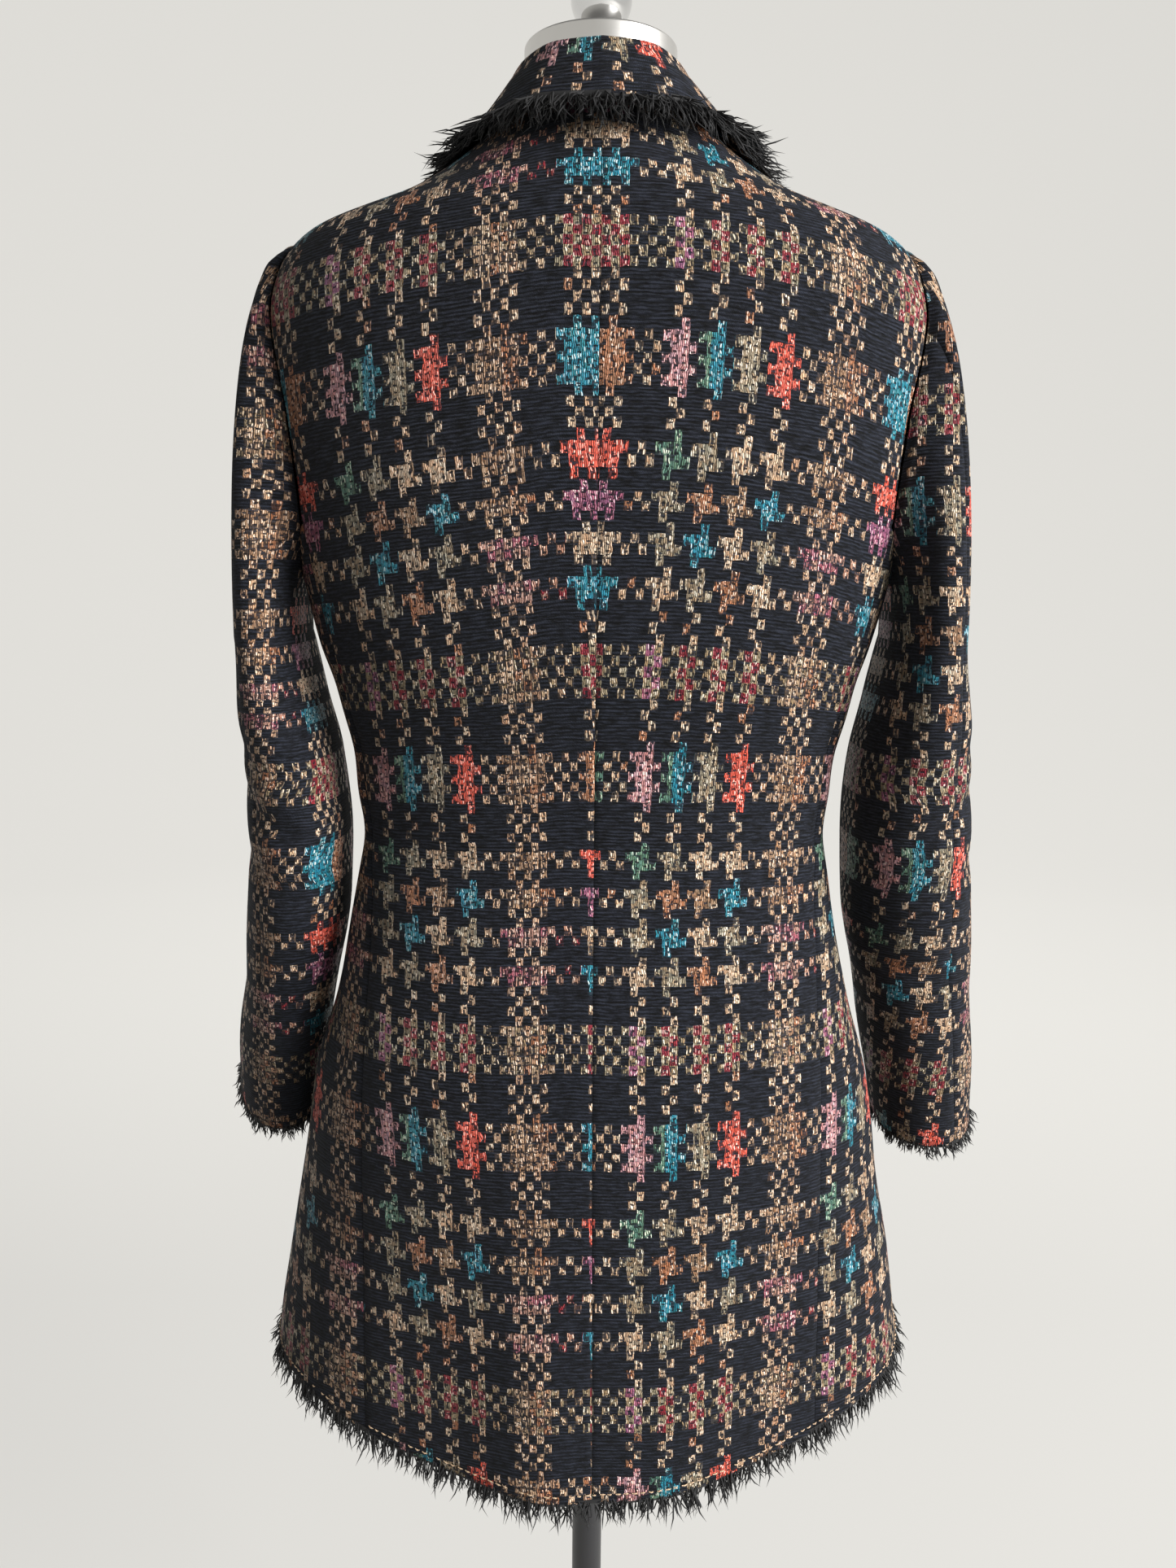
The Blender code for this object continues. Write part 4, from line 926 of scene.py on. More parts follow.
def cloth_piece(name, node, grid, coords, away, shell=SHELL, even=True):
    """Sheet of cloth from its outer points, thickened inward, with its cloth coordinates."""
    quads = grid_faces(*grid.shape[:2])
    p = grid.reshape(-1, 3)[quads]
    normals = np.cross(p[:, 1] - p[:, 0], p[:, 3] - p[:, 0])
    if np.sum(normals * away.reshape(-1, 3)[quads[:, 0]]) < 0.0:
        quads = quads[:, ::-1]
    obj = new_piece(name, grid.reshape(-1, 3), quads, "woven_plaid")
    layer = obj.data.uv_layers.new(name="cloth")
    layer.data.foreach_set("uv", coords.reshape(-1, 2)[quads.ravel()].astype(np.float32).ravel())
    wall = obj.modifiers.new("wall", "SOLIDIFY")
    wall.thickness = shell
    wall.offset = -1.0
    if even:
        light = obj.modifiers.new("even_light", "WEIGHTED_NORMAL")
        light.mode = "FACE_AREA"
        light.weight = 100
    ride(obj, "plaid_cloth", node)
    declare(grid)


def cloth_area(grid):
    quads = grid_faces(*grid.shape[:2])
    p = grid.reshape(-1, 3)[quads]
    a = np.linalg.norm(np.cross(p[:, 1] - p[:, 0], p[:, 2] - p[:, 0]), axis=1)
    b = np.linalg.norm(np.cross(p[:, 2] - p[:, 0], p[:, 3] - p[:, 0]), axis=1)
    return float((a + b).sum() / 2.0)


def declare(grid):
    """Works out how large the flat cut of a shown sheet is; the figure is not kept."""
    p = np.linalg.norm(np.diff(grid, axis=1), axis=-1).sum(axis=1).max()
    q = np.linalg.norm(np.diff(grid, axis=0), axis=-1).sum(axis=0).max()
    area = min(cloth_area(grid), p * q)


def ride(obj, slot, *nodes):
    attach(obj, "root")
    if nodes:
        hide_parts(*nodes)


# Materials
class Nodes:
    """Short way to lay out a material's nodes. Values may be numbers or other nodes' outputs."""

    def __init__(self, name):
        material = bpy.data.materials.new(name)
        material.use_nodes = True
        self.tree = material.node_tree
        self.shader = self.tree.nodes["Principled BSDF"]

    def link(self, value, socket):
        if isinstance(value, bpy.types.NodeSocket):
            self.tree.links.new(value, socket)
        else:
            socket.default_value = value

    def put(self, value, name):
        """Sets one of the shader's own sockets."""
        self.link(value, self.shader.inputs[name])

    def node(self, kind, values, **settings):
        made = self.tree.nodes.new(f"ShaderNode{kind}")
        for key, setting in settings.items():
            setattr(made, key, setting)
        for key, value in values.items():
            self.link(value, made.inputs[key])
        return made

    def math(self, operation, *values, clamp=False):
        node = self.node("Math", dict(enumerate(values)), operation=operation, use_clamp=clamp)
        return node.outputs[0]

    add = partialmethod(math, "ADD")
    sub = partialmethod(math, "SUBTRACT")
    mul = partialmethod(math, "MULTIPLY")
    mul_add = partialmethod(math, "MULTIPLY_ADD")
    floor = partialmethod(math, "FLOOR")
    fract = partialmethod(math, "FRACT")
    above = partialmethod(math, "GREATER_THAN")
    larger = partialmethod(math, "MAXIMUM")
    rest = partialmethod(math, "SUBTRACT", 1.0)

    def from_half(self, value):
        """How far a share is from one half."""
        return self.math("ABSOLUTE", self.sub(value, 0.5))

    def wave(self, turns):
        """Sine between 0 and 1."""
        return self.mul_add(self.math("SINE", self.mul(turns, math.tau)), 0.5, 0.5)

    def between(self, low, high, value):
        """Smooth rise from 0 at low to 1 at high."""
        node = self.node("MapRange", {"Value": value, "From Min": low, "From Max": high},
                         interpolation_type="SMOOTHSTEP")
        return node.outputs["Result"]

    def scale(self, value, low, high):
        node = self.node("MapRange", {"Value": value, "To Min": low, "To Max": high})
        return node.outputs["Result"]

    def blend(self, share, a, b, mode="MIX"):
        a, b = (value if isinstance(value, bpy.types.NodeSocket) else (*value, 1.0)
                for value in (a, b))
        node = self.node("Mix", {0: share, 6: a, 7: b}, data_type="RGBA", blend_type=mode)
        return node.outputs[2]

    def toned(self, colour, tone):
        """Colour made darker or lighter by a number."""
        return self.blend(1.0, colour, self.join(tone, tone, tone), "MULTIPLY")

    def steps(self, value, stops):
        """Ramp with flat steps: (position, colour) pairs."""
        node = self.node("ValToRGB", {"Fac": value})
        ramp = node.color_ramp
        ramp.interpolation = "CONSTANT"
        for i, (at, colour) in enumerate(stops):
            if i < 2:
                element = ramp.elements[i]
                element.position = at
            else:
                element = ramp.elements.new(at)
            element.color = (*colour, 1.0)
        return node.outputs["Color"]

    def spans(self, value, spans, total):
        """1 within the spans of a repeat of the given size, else 0."""
        stops = [(0.0, (0.0, 0.0, 0.0))]
        for low, high in spans:
            stops.append((low / total, (1.0, 1.0, 1.0)))
            stops.append((high / total, (0.0, 0.0, 0.0)))
        if stops[1][0] == 0.0:
            stops = stops[1:]
        share = self.math("DIVIDE", self.add(value, 0.5), float(total))
        return self.above(self.steps(share, stops), 0.5)

    def noise(self, vector, scale, detail=2.0, rough=0.5):
        node = self.node("TexNoise", {"Vector": vector, "Scale": scale, "Detail": detail,
                                      "Roughness": rough})
        return node.outputs["Fac"]

    def white(self, *parts):
        node = self.node("TexWhiteNoise", {"Vector": self.join(*parts)}, noise_dimensions="3D")
        return node.outputs["Value"]

    def join(self, *parts):
        return self.node("CombineXYZ", dict(enumerate(parts))).outputs[0]

    def split(self, vector):
        return self.node("SeparateXYZ", {0: vector}).outputs

    def bump(self, height, distance, strength):
        node = self.node("Bump", {"Strength": strength, "Distance": distance, "Height": height})
        self.put(node.outputs["Normal"], "Normal")

    def place(self):
        return self.node("TexCoord", {}).outputs["Object"]


def woven_cloth(settings):
    """Chenille ground with a repeat of coloured stars, blocks and checks of floating yarn."""
    n = Nodes("woven_plaid")
    uv = n.split(n.node("UVMap", {}, uv_map="cloth").outputs["UV"])
    plain_u, plain_v = n.add(uv[0], COLUMNS * 20.0), n.add(uv[1], ROWS * 20.0)
    sway = n.sub(n.noise(n.join(plain_u, plain_v), 1.1, 1.0), 0.5)
    sway2 = n.sub(n.noise(n.join(plain_v, plain_u, 7.0), 1.3, 1.0), 0.5)
    u, v = n.mul_add(sway, 0.34, plain_u), n.mul_add(sway2, 0.30, plain_v)
    cu, cv = n.floor(u), n.floor(v)
    fu, fv = n.fract(u), n.fract(v)
    i, j = n.math("MODULO", cu, float(COLUMNS)), n.math("MODULO", cv, float(ROWS))
    odd = n.math("MODULO", n.add(cu, cv), 2.0)

    def columns(spans):
        return n.spans(i, spans, COLUMNS)

    def rows(spans):
        return n.spans(j, spans, ROWS)

    stripe, band = columns(STRIPE_BODIES), rows(BAND_BODIES)
    solid = n.mul(stripe, band)
    shown = n.larger(solid, n.larger(n.mul(stripe, n.rest(odd)), n.mul(band, odd)))

    yarns = {key: tuple(getattr(settings, key)) for key in YARNS}
    share_u = n.math("DIVIDE", n.add(i, fu), float(COLUMNS))
    ramps = {key: n.steps(share_u, [(at / COLUMNS, yarns[yarn]) for at, yarn in row])
             for key, row in BAND_YARNS.items()}
    second = n.math("MODULO", n.floor(n.math("DIVIDE", cv, float(ROWS))), 2.0)
    ramps["block"] = n.blend(second, ramps["block"], ramps["second_block"])
    colour = ramps["block"]
    for start, key in BAND_STARTS[1:]:
        colour = n.blend(n.above(j, start - 0.5), colour, ramps[key])
    chance, chance2 = n.white(cu, cv), n.white(cu, cv, 3.0)
    dots = n.blend(n.above(chance2, 0.86), yarns["tan"], yarns["copper"])
    red_dots = n.mul(columns(RED_DOT_COLUMNS), rows(RED_DOT_ROWS))
    motif = n.larger(n.mul(columns(MOTIF_COLUMNS), rows(MOTIF_ROWS)), red_dots)
    colour = n.blend(motif, dots, colour)
    colour = n.blend(n.mul(rows(CHECK_ROWS), odd), colour, CHECK_TAN)
    # Between the pink rows the broad stripe goes on in tan
    pause = n.mul(n.mul(columns(PAUSE_COLUMNS), n.rest(band)), rows(PAUSE_ROWS))
    colour = n.blend(n.mul(pause, 0.85), colour, yarns["tan"])
    earthy = columns(EARTHY_COLUMNS)
    mixed = n.mul(earthy, n.above(chance2, 0.45))
    colour = n.blend(n.mul(mixed, 0.55), colour, yarns["tan"])

    # Upright strands, each broken into lengths that are bright, dull or sunk out of sight
    loose = n.larger(n.rest(solid), earthy)
    strands = n.mul(n.mul_add(sway2, 0.35, u), 4.5)
    strand_no = n.floor(strands)
    lengths = n.mul_add(v, 2.0, n.white(strand_no, 1.0, 11.0))
    length_no = n.floor(lengths)
    shade = n.white(strand_no, length_no, 13.0)
    hue = n.white(n.floor(n.mul(strands, 0.5)), length_no, 17.0)
    strand = n.between(0.50, 0.12, n.from_half(n.fract(strands)))
    hump = n.between(0.50, 0.20, n.from_half(n.fract(lengths)))
    sunk = n.math("LESS_THAN", shade, n.mul_add(loose, 0.18, 0.09))
    # Dark dashes between the floats, staggered from one cell to the next
    stagger = n.mul(n.math("MODULO", cu, 2.0), 0.5)
    jitter = n.mul(n.white(cu, cv, 5.0), 0.25)
    run = n.fract(n.mul_add(v, 1.5, n.add(stagger, jitter)))
    aside = n.math("ABSOLUTE", n.sub(fu, n.mul_add(chance, 0.3, 0.35)))
    dash = n.mul(n.between(0.66, 0.74, run), n.between(1.0, 0.92, run))
    dash = n.mul(dash, n.between(0.25, 0.17, aside))
    # Single checks have ragged ends, where each strand stops at its own height
    reach = n.mul_add(n.white(strand_no, cv, 9.0), 0.24, 0.32)
    ends = n.above(n.from_half(fv), reach)
    frayed = n.mul(n.larger(ends, n.between(0.40, 0.48, n.from_half(fu))), loose)
    cover = shown
    for loss, share in ((frayed, 0.9), (dash, 0.92), (sunk, 0.85)):
        cover = n.mul(cover, n.rest(n.mul(loss, share)))
    cover = n.mul(cover, n.mul_add(strand, 0.35, 0.65), clamp=True)

    # Tone of the floats: random per length and per cell, with painted shade toward each strand's
    # edges and a painted highlight on the rounded middle of each length
    tone = n.mul_add(shade, 1.15, 0.42)
    for value, gain, least in ((chance, 0.30, 0.88), (strand, 0.50, 0.62), (hump, 0.35, 0.75)):
        tone = n.mul(tone, n.mul_add(value, gain, least))
    rusty = n.mul(earthy, n.between(0.55, 0.85, hue))
    colour = n.blend(n.mul(rusty, 0.55), colour, yarns["copper"])
    colour = n.blend(1.0, colour, n.blend(hue, WARM, COOL), "MULTIPLY")
    # Painted highlight: the floats' colour turns pale cream on the rounded middles of the brighter
    # lengths
    painted_highlight = n.mul(n.mul(hump, strand), n.between(0.60, 1.0, shade))
    colour = n.blend(n.mul(painted_highlight, 0.55), colour, HIGHLIGHT_PAINT)
    # Ground: fine, wavering level ribs of fuzzy twisted yarn
    fuzz = n.noise(n.join(n.mul(plain_u, 1.2), n.mul(plain_v, 2.2)), 3.0, 3.0, 0.7)
    slow = n.noise(n.join(n.mul(plain_u, 0.30), plain_v), 1.5, 2.0)
    streak = n.join(n.mul(plain_u, 0.55), n.mul(plain_v, 3.6), 4.0)
    streak = n.between(0.36, 0.64, n.noise(streak, 1.0, 4.0, 0.75))
    rib = n.wave(n.mul_add(fuzz, 0.45, n.mul_add(slow, 1.1, n.mul(plain_v, 2.8))))
    twist = n.wave(n.add(n.mul(plain_u, 7.0), n.mul(plain_v, 4.0)))
    fleck = n.mul(rib, n.mul_add(twist, 0.6, 0.5))
    ground_tone = n.mul_add(fleck, 1.5, n.mul_add(fuzz, 1.2, -0.25))
    ground_tone = n.mul(ground_tone, n.scale(streak, 0.12, 2.3))
    ground = n.toned(tuple(settings.ground), ground_tone)
    n.put(n.blend(cover, ground, n.toned(colour, tone)), "Base Color")
    n.put(n.scale(cover, 0.93, 0.40), "Roughness")
    n.put(0.25, "Specular IOR Level")
    height = n.mul(fleck, n.rest(shown))
    height = n.add(height, n.mul(cover, n.mul_add(strand, 0.35, 1.1)))
    height = n.add(height, n.mul(n.mul(cover, hump), 0.5))
    n.bump(n.add(height, n.mul(fuzz, 0.5)), 0.0007, 0.9)


def yarn_material(name, colour, rough, sheen):
    n = Nodes(name)
    place = n.place()
    n.put(n.toned(colour, n.scale(n.noise(place, 900.0), 0.55, 1.6)), "Base Color")
    n.put(n.scale(n.noise(place, 260.0), rough - 0.08, rough + 0.12), "Roughness")
    n.put(sheen, "Sheen Weight")
    n.put(0.4, "Sheen Roughness")


def linen_material(colour):
    n = Nodes("linen_cover")
    place = n.place()
    x, _, z = n.split(place)
    warp, weft = (n.math("SINE", n.mul(axis, math.tau / LINEN_THREAD)) for axis in (x, z))
    weave = n.mul(warp, weft)
    slub = n.noise(place, 120.0, 3.0)
    n.put(n.toned(colour, n.mul_add(weave, 0.05, n.scale(slub, 0.86, 1.1))), "Base Color")
    n.put(n.scale(slub, 0.82, 0.95), "Roughness")
    n.bump(weave, 0.0002, 0.5)


def metal_material(name, colour, rough, streak):
    n = Nodes(name)
    place = n.place()
    lines = n.noise(n.join(0.0, 0.0, n.split(place)[2]), 2600.0, 3.0)
    wear = n.noise(place, 45.0, 3.0)
    marks = n.scale(lines, rough - streak, rough + streak)
    n.put(n.add(marks, n.scale(wear, -0.03, 0.05)), "Roughness")
    n.put(n.toned(colour, n.scale(wear, 0.93, 1.04)), "Base Color")
    n.put(1.0, "Metallic")
    n.bump(lines, 0.00003, streak * 2.0)


def paint_material(name, colour, rough):
    n = Nodes(name)
    place = n.place()
    dust = n.noise(place, 18.0, 4.0, 0.65)
    n.put(n.toned(colour, n.scale(dust, 0.8, 1.35)), "Base Color")
    n.put(n.scale(dust, rough - 0.08, rough + 0.14), "Roughness")
    n.bump(n.noise(place, 700.0), 0.00012, 0.4)


def plain_stage(name, colour, rough, glow):
    n = Nodes(name)
    n.put(n.toned(colour, n.scale(n.noise(n.place(), 1.4, 3.0), 0.975, 1.02)), "Base Color")
    n.put(rough, "Roughness")
    n.put((1.0, 0.985, 0.94, 1.0), "Emission Color")
    n.put(glow, "Emission Strength")


# Fringe
def hem_frame(share):
    """Place on the hem from the left front's edge round the back to the right front's edge."""
    over = float(angle_at(LAP, HEM_Z))
    angle = mix(-(math.pi + over), math.pi + over, share)
    exponent = 2.0 / float(CURVES["round"](HEM_Z))
    x = float(CURVES["half"](HEM_Z)) * np.abs(np.sin(angle)) ** exponent
    x = np.where((np.sin(angle) < 0.0) & (angle > 0.0), -x, x)
    front = (np.cos(angle) < 0.0) & (angle > 0.0)
    lift = np.where(front, lap_lift(x, RIGHT, True), 0.0)
    low = hem_drop(angle, HEM_Z + 0.0 * angle)
    point = on_body(angle, low, lift + WALL * 0.5)
    out = unit(on_body(angle, low, lift + 0.01) - point)
    down = unit(on_body(angle, low - 0.01, lift + WALL * 0.5) - point)
    return point, out, down


def cuff_frame(name, share):
    """Place round the end of a sleeve."""
    turn, level = np.meshgrid(share * 360.0, [1.94, 1.97, 2.0])
    points = sleeve_grid(name, level, turn, WALL * 0.5)
    point = points[2]
    down = unit(point - points[0])
    away = unit(point - arm_centre(name, point[:, 2]))
    out = unit(away - down * np.sum(away * down, axis=-1, keepdims=True))
    return point, out, down


def collar_frame():
    """Place along the collar's free edge."""
    end = COLLAR[-1].angle
    inner, edge = np.stack([collar_section(a)[-2:] for a in np.linspace(-end, end, 241)], axis=1)
    down = unit(edge - inner)
    out = unit(np.cross(unit(np.gradient(edge, axis=0)), down))
    out = out * np.sign(out[:, 2:3])
    return edge + out * WALL * 0.6, out, down


def fringe_strands(place, long, count, seed, spray, hang, clear):
    """Points of many threads that leave an edge in a few rows and directions and bend once.

    Each thread has three sides: points 0, 2, 4 at its root, 1, 3, 5 at its bend and 6 at its tip.
    """
    point, out, down = place
    rng = np.random.default_rng(seed)

    def draw(low, high):
        return rng.uniform(low, high, count)[:, None]

    def spread(width):
        return rng.normal(0.0, width, count)[:, None]

    run = np.concatenate([[0.0], np.cumsum(np.linalg.norm(np.diff(point, axis=0), axis=-1))])
    at = rng.uniform(0.0, run[-1], count)
    tufts = rng.uniform(-1.0, 1.0, TUFTS)
    pick = np.interp(at, run, np.arange(len(run)))
    low = np.clip(pick.astype(int), 0, len(run) - 2)
    part = (pick - low)[:, None]
    base, o, d = (values[low] * (1.0 - part) + values[low + 1] * part
                  for values in (point, out, down))
    o, d = unit(o), unit(d)
    a = unit(np.cross(o, d))
    tuft = tufts[(at / TUFT_WIDTH).astype(int) % TUFTS][:, None]
    layer = draw(-1.0, 1.0)
    base = base + o * (layer * WALL * 0.42) - d * draw(0.0, 0.0022)
    length = long * draw(0.45, 1.0) * (1.0 + 0.16 * tuft)
    odd = draw(0.0, 1.0) < ODD_THREADS
    length = np.where(odd, long * draw(0.95, 1.12), length)
    lean_out = spray[0] * layer + spray[1] + spread(0.20)
    lean_side = tuft * 0.30 + spread(spray[2])
    first = unit(d + o * lean_out + a * lean_side)
    gravity = np.array([0.0, 0.0, -1.0]) * hang
    curl = o * spread(0.55) + a * spread(0.55)
    second = unit(first + gravity + curl)
    mid = base + first * (length * 0.64)
    tip = mid + second * (length * 0.36)
    if clear:
        for i in range(count):
            tip[i] = push_clear(tip[i], clear)
            mid[i] = push_clear(mid[i], clear * 0.8)
    size = draw(0.00040, 0.00066)
    side = unit(np.cross(first, o + 0.3 * a))
    other = unit(np.cross(first, side))
    spin = draw(0.0, math.tau)
    verts = []
    for k in range(3):
        t = spin + math.tau * k / 3.0
        ring = side * np.cos(t) + other * np.sin(t)
        verts += [base + ring * size, mid + ring * (size * 0.9)]
    verts.append(tip)
    start = np.arange(count) * len(verts)
    walls, caps = [], []
    for k in range(0, 6, 2):
        m = (k + 2) % 6
        walls.append(np.stack([start + k, start + m, start + m + 1, start + k + 1], axis=1))
        caps.append(np.stack([start + k + 1, start + m + 1, start + 6], axis=1))
    faces = np.concatenate(walls).tolist() + np.concatenate(caps).tolist()
    return new_piece("threads", np.stack(verts, axis=1).reshape(-1, 3), faces, "fringe_yarn")


def strip_mesh(place, high, thick):
    """Narrow backing tape that the threads come out of."""
    point, out, down = place
    a = point + out * thick / 2.0 - down * high * 0.6
    b = point + out * thick / 2.0 + down * high * 0.4
    c = point - out * thick / 2.0 + down * high * 0.4
    e = point - out * thick / 2.0 - down * high * 0.6
    grid = np.stack([a, b, c, e, a], axis=1)
    return new_piece("tape", grid.reshape(-1, 3), grid_faces(*grid.shape[:2]), "fringe_yarn")


def sew_fringe(name, node, place, tape, long, density, seed, spray, hang, clear=0.0):
    """Tape and threads along an edge as one piece. Density is threads along a metre."""
    run = float(np.linalg.norm(np.diff(place[0], axis=0), axis=-1).sum())
    backing = strip_mesh(place, *tape)
    threads = fringe_strands(place, long, int(run * density), seed, spray, hang, clear)
    mesh = bpy.data.meshes.new(name)
    bm = bmesh.new()
    for part in (threads, backing):
        bm.from_mesh(part.data)
    bm.to_mesh(mesh)
    bm.free()
    mesh.materials.append(bpy.data.materials["fringe_yarn"])
    for part in (threads, backing):
        bpy.data.objects.remove(part, do_unlink=True)
    ride(add_object(name, mesh), "black_fringe", node)


def turned(name, profile, steps, finish):
    """Smooth turned piece from a profile of radius and height."""
    verts = [(r * math.cos(math.tau * k / steps), r * math.sin(math.tau * k / steps), z)
             for r, z in profile for k in range(steps)]
    obj = new_piece(name, verts, ring_faces(len(profile), steps), finish)
    face_out(obj, merge=0.00001)
    return obj


def rounded(corners, radius, steps=5):
    """Profile with its inner corners rounded."""
    done = [corners[0]]
    for before, here, after in zip(corners, corners[1:], corners[2:]):
        h = Vector(here)
        a, b = Vector(before) - h, Vector(after) - h
        r = min(radius, a.length * 0.45, b.length * 0.45)
        p, q = h + a.normalized() * r, h + b.normalized() * r
        for k in range(steps + 1):
            t = k / steps
            done.append(tuple(p.lerp(h, t).lerp(h.lerp(q, t), t)))
    done.append(corners[-1])
    return done


# Operators
class COAT_OT_finishes(bpy.types.Operator):
    """Make the cloth, yarn, metal and paint finishes"""
    bl_idname = "coat.finishes"
    bl_label = "Finishes"

    def execute(self, context):
        coat, trim = context.scene.coat_settings, context.scene.coat_trim
        woven_cloth(coat)
        yarn_material("fringe_yarn", tuple(trim.fringe_colour), 0.72, 0.06)
        yarn_material("stitch_yarn", tuple(coat.tan), 0.6, 0.1)
        linen_material(tuple(trim.linen))
        metal_material("brushed_neck", (0.66, 0.65, 0.63), 0.34, 0.10)
        metal_material("polished_knob", (0.78, 0.78, 0.78), 0.09, 0.02)
        paint_material("stand_paint", tuple(trim.stand_colour), 0.38)
        paint_material("button_horn", (0.018, 0.014, 0.012), 0.26)
        return {"FINISHED"}


class COAT_OT_panels(bpy.types.Operator):
    """Cut and hang the backs, sides and fronts"""
    bl_idname = "coat.panels"
    bl_label = "Backs, sides and fronts"

    def execute(self, context):
        coat = context.scene.coat_settings
        for name, side in SIDES.items():
            for part, (grid, coords) in (("back", body_panel(side, False, coat)),
                                         ("front", body_panel(side, True, coat)),
                                         ("side", side_panel(side, coat))):
                away = grid * (1.0, 1.0, 0.0)
                cloth_piece(f"{part}_{name}", f"coat_{part}_{name}", grid, coords, away)
        return {"FINISHED"}


class COAT_OT_sleeves(bpy.types.Operator):
    """Set in the two-piece sleeves"""
    bl_idname = "coat.sleeves"
    bl_label = "Sleeves"

    def execute(self, context):
        coat = context.scene.coat_settings
        for name in SIDES:
            seam = BACK_ARM_SEAM[name]
            for part, first, last in (("top", FRONT_ARM_SEAM - 360.0, seam),
                                      ("under", seam, FRONT_ARM_SEAM)):
                grid, coords = sleeve_piece(name, first, last, coat, outer=part == "top")
                cloth_piece(f"{part}_sleeve_{name}", f"sleeve_{part}_{name}", grid, coords,
                            grid - arm_core(name, grid))
        return {"FINISHED"}


class COAT_OT_collar(bpy.types.Operator):
    """Roll the collar over its stand"""
    bl_idname = "coat.collar"
    bl_label = "Collar"

    def execute(self, context):
        grid, coords, normal = collar_piece(context.scene.coat_settings)
        cloth_piece("rolled_collar", "collar", grid, coords, normal,
                    shell=COLLAR_SHELL, even=False)
        return {"FINISHED"}


class COAT_OT_fringes(bpy.types.Operator):
    """Sew the fringe to the hem, the cuffs and the collar's edge"""
    bl_idname = "coat.fringes"
    bl_label = "Fringes"

    def execute(self, context):
        trim = context.scene.coat_trim
        sew_fringe("hem_fringe", "fringe_hem", hem_frame(np.linspace(0.0, 1.0, 901)),
                   (0.0035, 0.0016), trim.hem_fringe, trim.strands, 11, (0.30, 0.18, 0.32), 0.25)
        sew_fringe("collar_fringe", "fringe_collar", collar_frame(),
                   (0.0035, 0.0022), trim.collar_fringe, trim.strands * 1.25, 12,
                   (0.45, 0.20, 0.38), 0.30, clear=COLLAR_CLEAR)
        for seed, name in ((13, "left"), (14, "right")):
            sew_fringe(f"cuff_fringe_{name}", f"fringe_cuff_{name}",
                       cuff_frame(name, np.linspace(0.0, 1.0, 181)),
                       (0.003, 0.0016), trim.cuff_fringe, trim.strands, seed,
                       (0.35, 0.16, 0.34), 0.15)
        return {"FINISHED"}


class COAT_OT_stitches(bpy.types.Operator):
    """Lay the broken tan stitch line above the hem's fringe"""
    bl_idname = "coat.stitches"
    bl_label = "Hem stitches"

    def execute(self, context):
        rng = random.Random(5)
        verts, faces = [], []
        reach = math.pi - float(angle_at(LAP, HEM_Z))
        for i in range(STITCHES):
            if rng.random() < 0.14:
                continue
            first = mix(-reach, reach, (i + 0.14) / STITCHES)
            last = mix(-reach, reach, (i + rng.uniform(0.62, 0.86)) / STITCHES)
            start = len(verts)
            for k in range(5):
                a = mix(first, last, k / 4.0)
                z = float(hem_drop(a, HEM_Z + 0.0050 + rng.uniform(-0.0002, 0.0002)))
                bulge = math.sin(math.pi * k / 4.0)
                lift = WALL + 0.0002 + 0.00045 * bulge
                centre = Vector(on_body(a, z, lift))
                up = (Vector(on_body(a, z + 0.002, lift)) - centre).normalized()
                out = Vector((centre.x, centre.y, 0.0)).normalized()
                size = 0.00055 * (0.55 + 0.45 * bulge)
                for corner in range(6):
                    t = math.tau * corner / 6.0
                    verts.append(centre + up * size * math.sin(t) + out * size * 0.7 * math.cos(t))
            faces += ring_faces(5, 6, start)
            faces.append(tuple(range(start, start + 6)))
            faces.append(tuple(range(start + 29, start + 23, -1)))
        ride(new_piece("hem_stitches", verts, faces, "stitch_yarn"), "plaid_cloth")
        return {"FINISHED"}


class COAT_OT_buttons(bpy.types.Operator):
    """Make the front buttons"""
    bl_idname = "coat.buttons"
    bl_label = "Buttons"

    def execute(self, context):
        rim, t = BUTTON_R, BUTTON_T
        corners = [(0.0, 0.0), (rim - 0.0012, 0.0), (rim, 0.0012), (rim, t - 0.0010),
                   (rim - 0.0012, t), (rim - 0.0030, t - 0.0004), (rim - 0.0042, t - 0.0014),
                   (0.0, t - 0.0014)]
        outer = LAP_LIFT + WALL
        for index, z in enumerate(BUTTON_Z, start=1):
            disc = turned(f"front_button_{index}", rounded(corners, 0.0006, 3), 48, "button_horn")
            bm = bmesh.new()
            bm.from_mesh(disc.data)
            for k in range(4):
                a = math.tau * (k + 0.5) / 4.0
                spot = Matrix.Translation((0.0025 * math.cos(a), 0.0025 * math.sin(a), t - 0.0013))
                bmesh.ops.create_uvsphere(bm, u_segments=12, v_segments=8, radius=0.0008,
                                          matrix=spot @ Matrix.Diagonal((1.0, 1.0, 0.35, 1.0)))
            bm.to_mesh(disc.data)
            bm.free()
            middle = Vector(on_body(math.pi, z, outer))
            normal = (Vector(on_body(math.pi, z, outer + 0.01)) - middle).normalized()
            lift = 0.0
            for turn in range(0, 360, 30):
                across = rim * math.cos(math.radians(turn))
                high = z + rim * math.sin(math.radians(turn))
                rest = Vector(on_body(math.pi - float(angle_at(across, high)), high, outer))
                lift = max(lift, (rest - middle).dot(normal))
            tilt = Euler((math.atan2(normal.z, normal.y) - math.pi / 2.0, 0.0, 0.0))
            seat = Matrix.Translation(middle + normal * (lift + 1.5 * SEAM))
            disc.data.transform(seat @ tilt.to_matrix().to_4x4())
            ride(disc, "button_plastic", f"button_{index}")
        return {"FINISHED"}


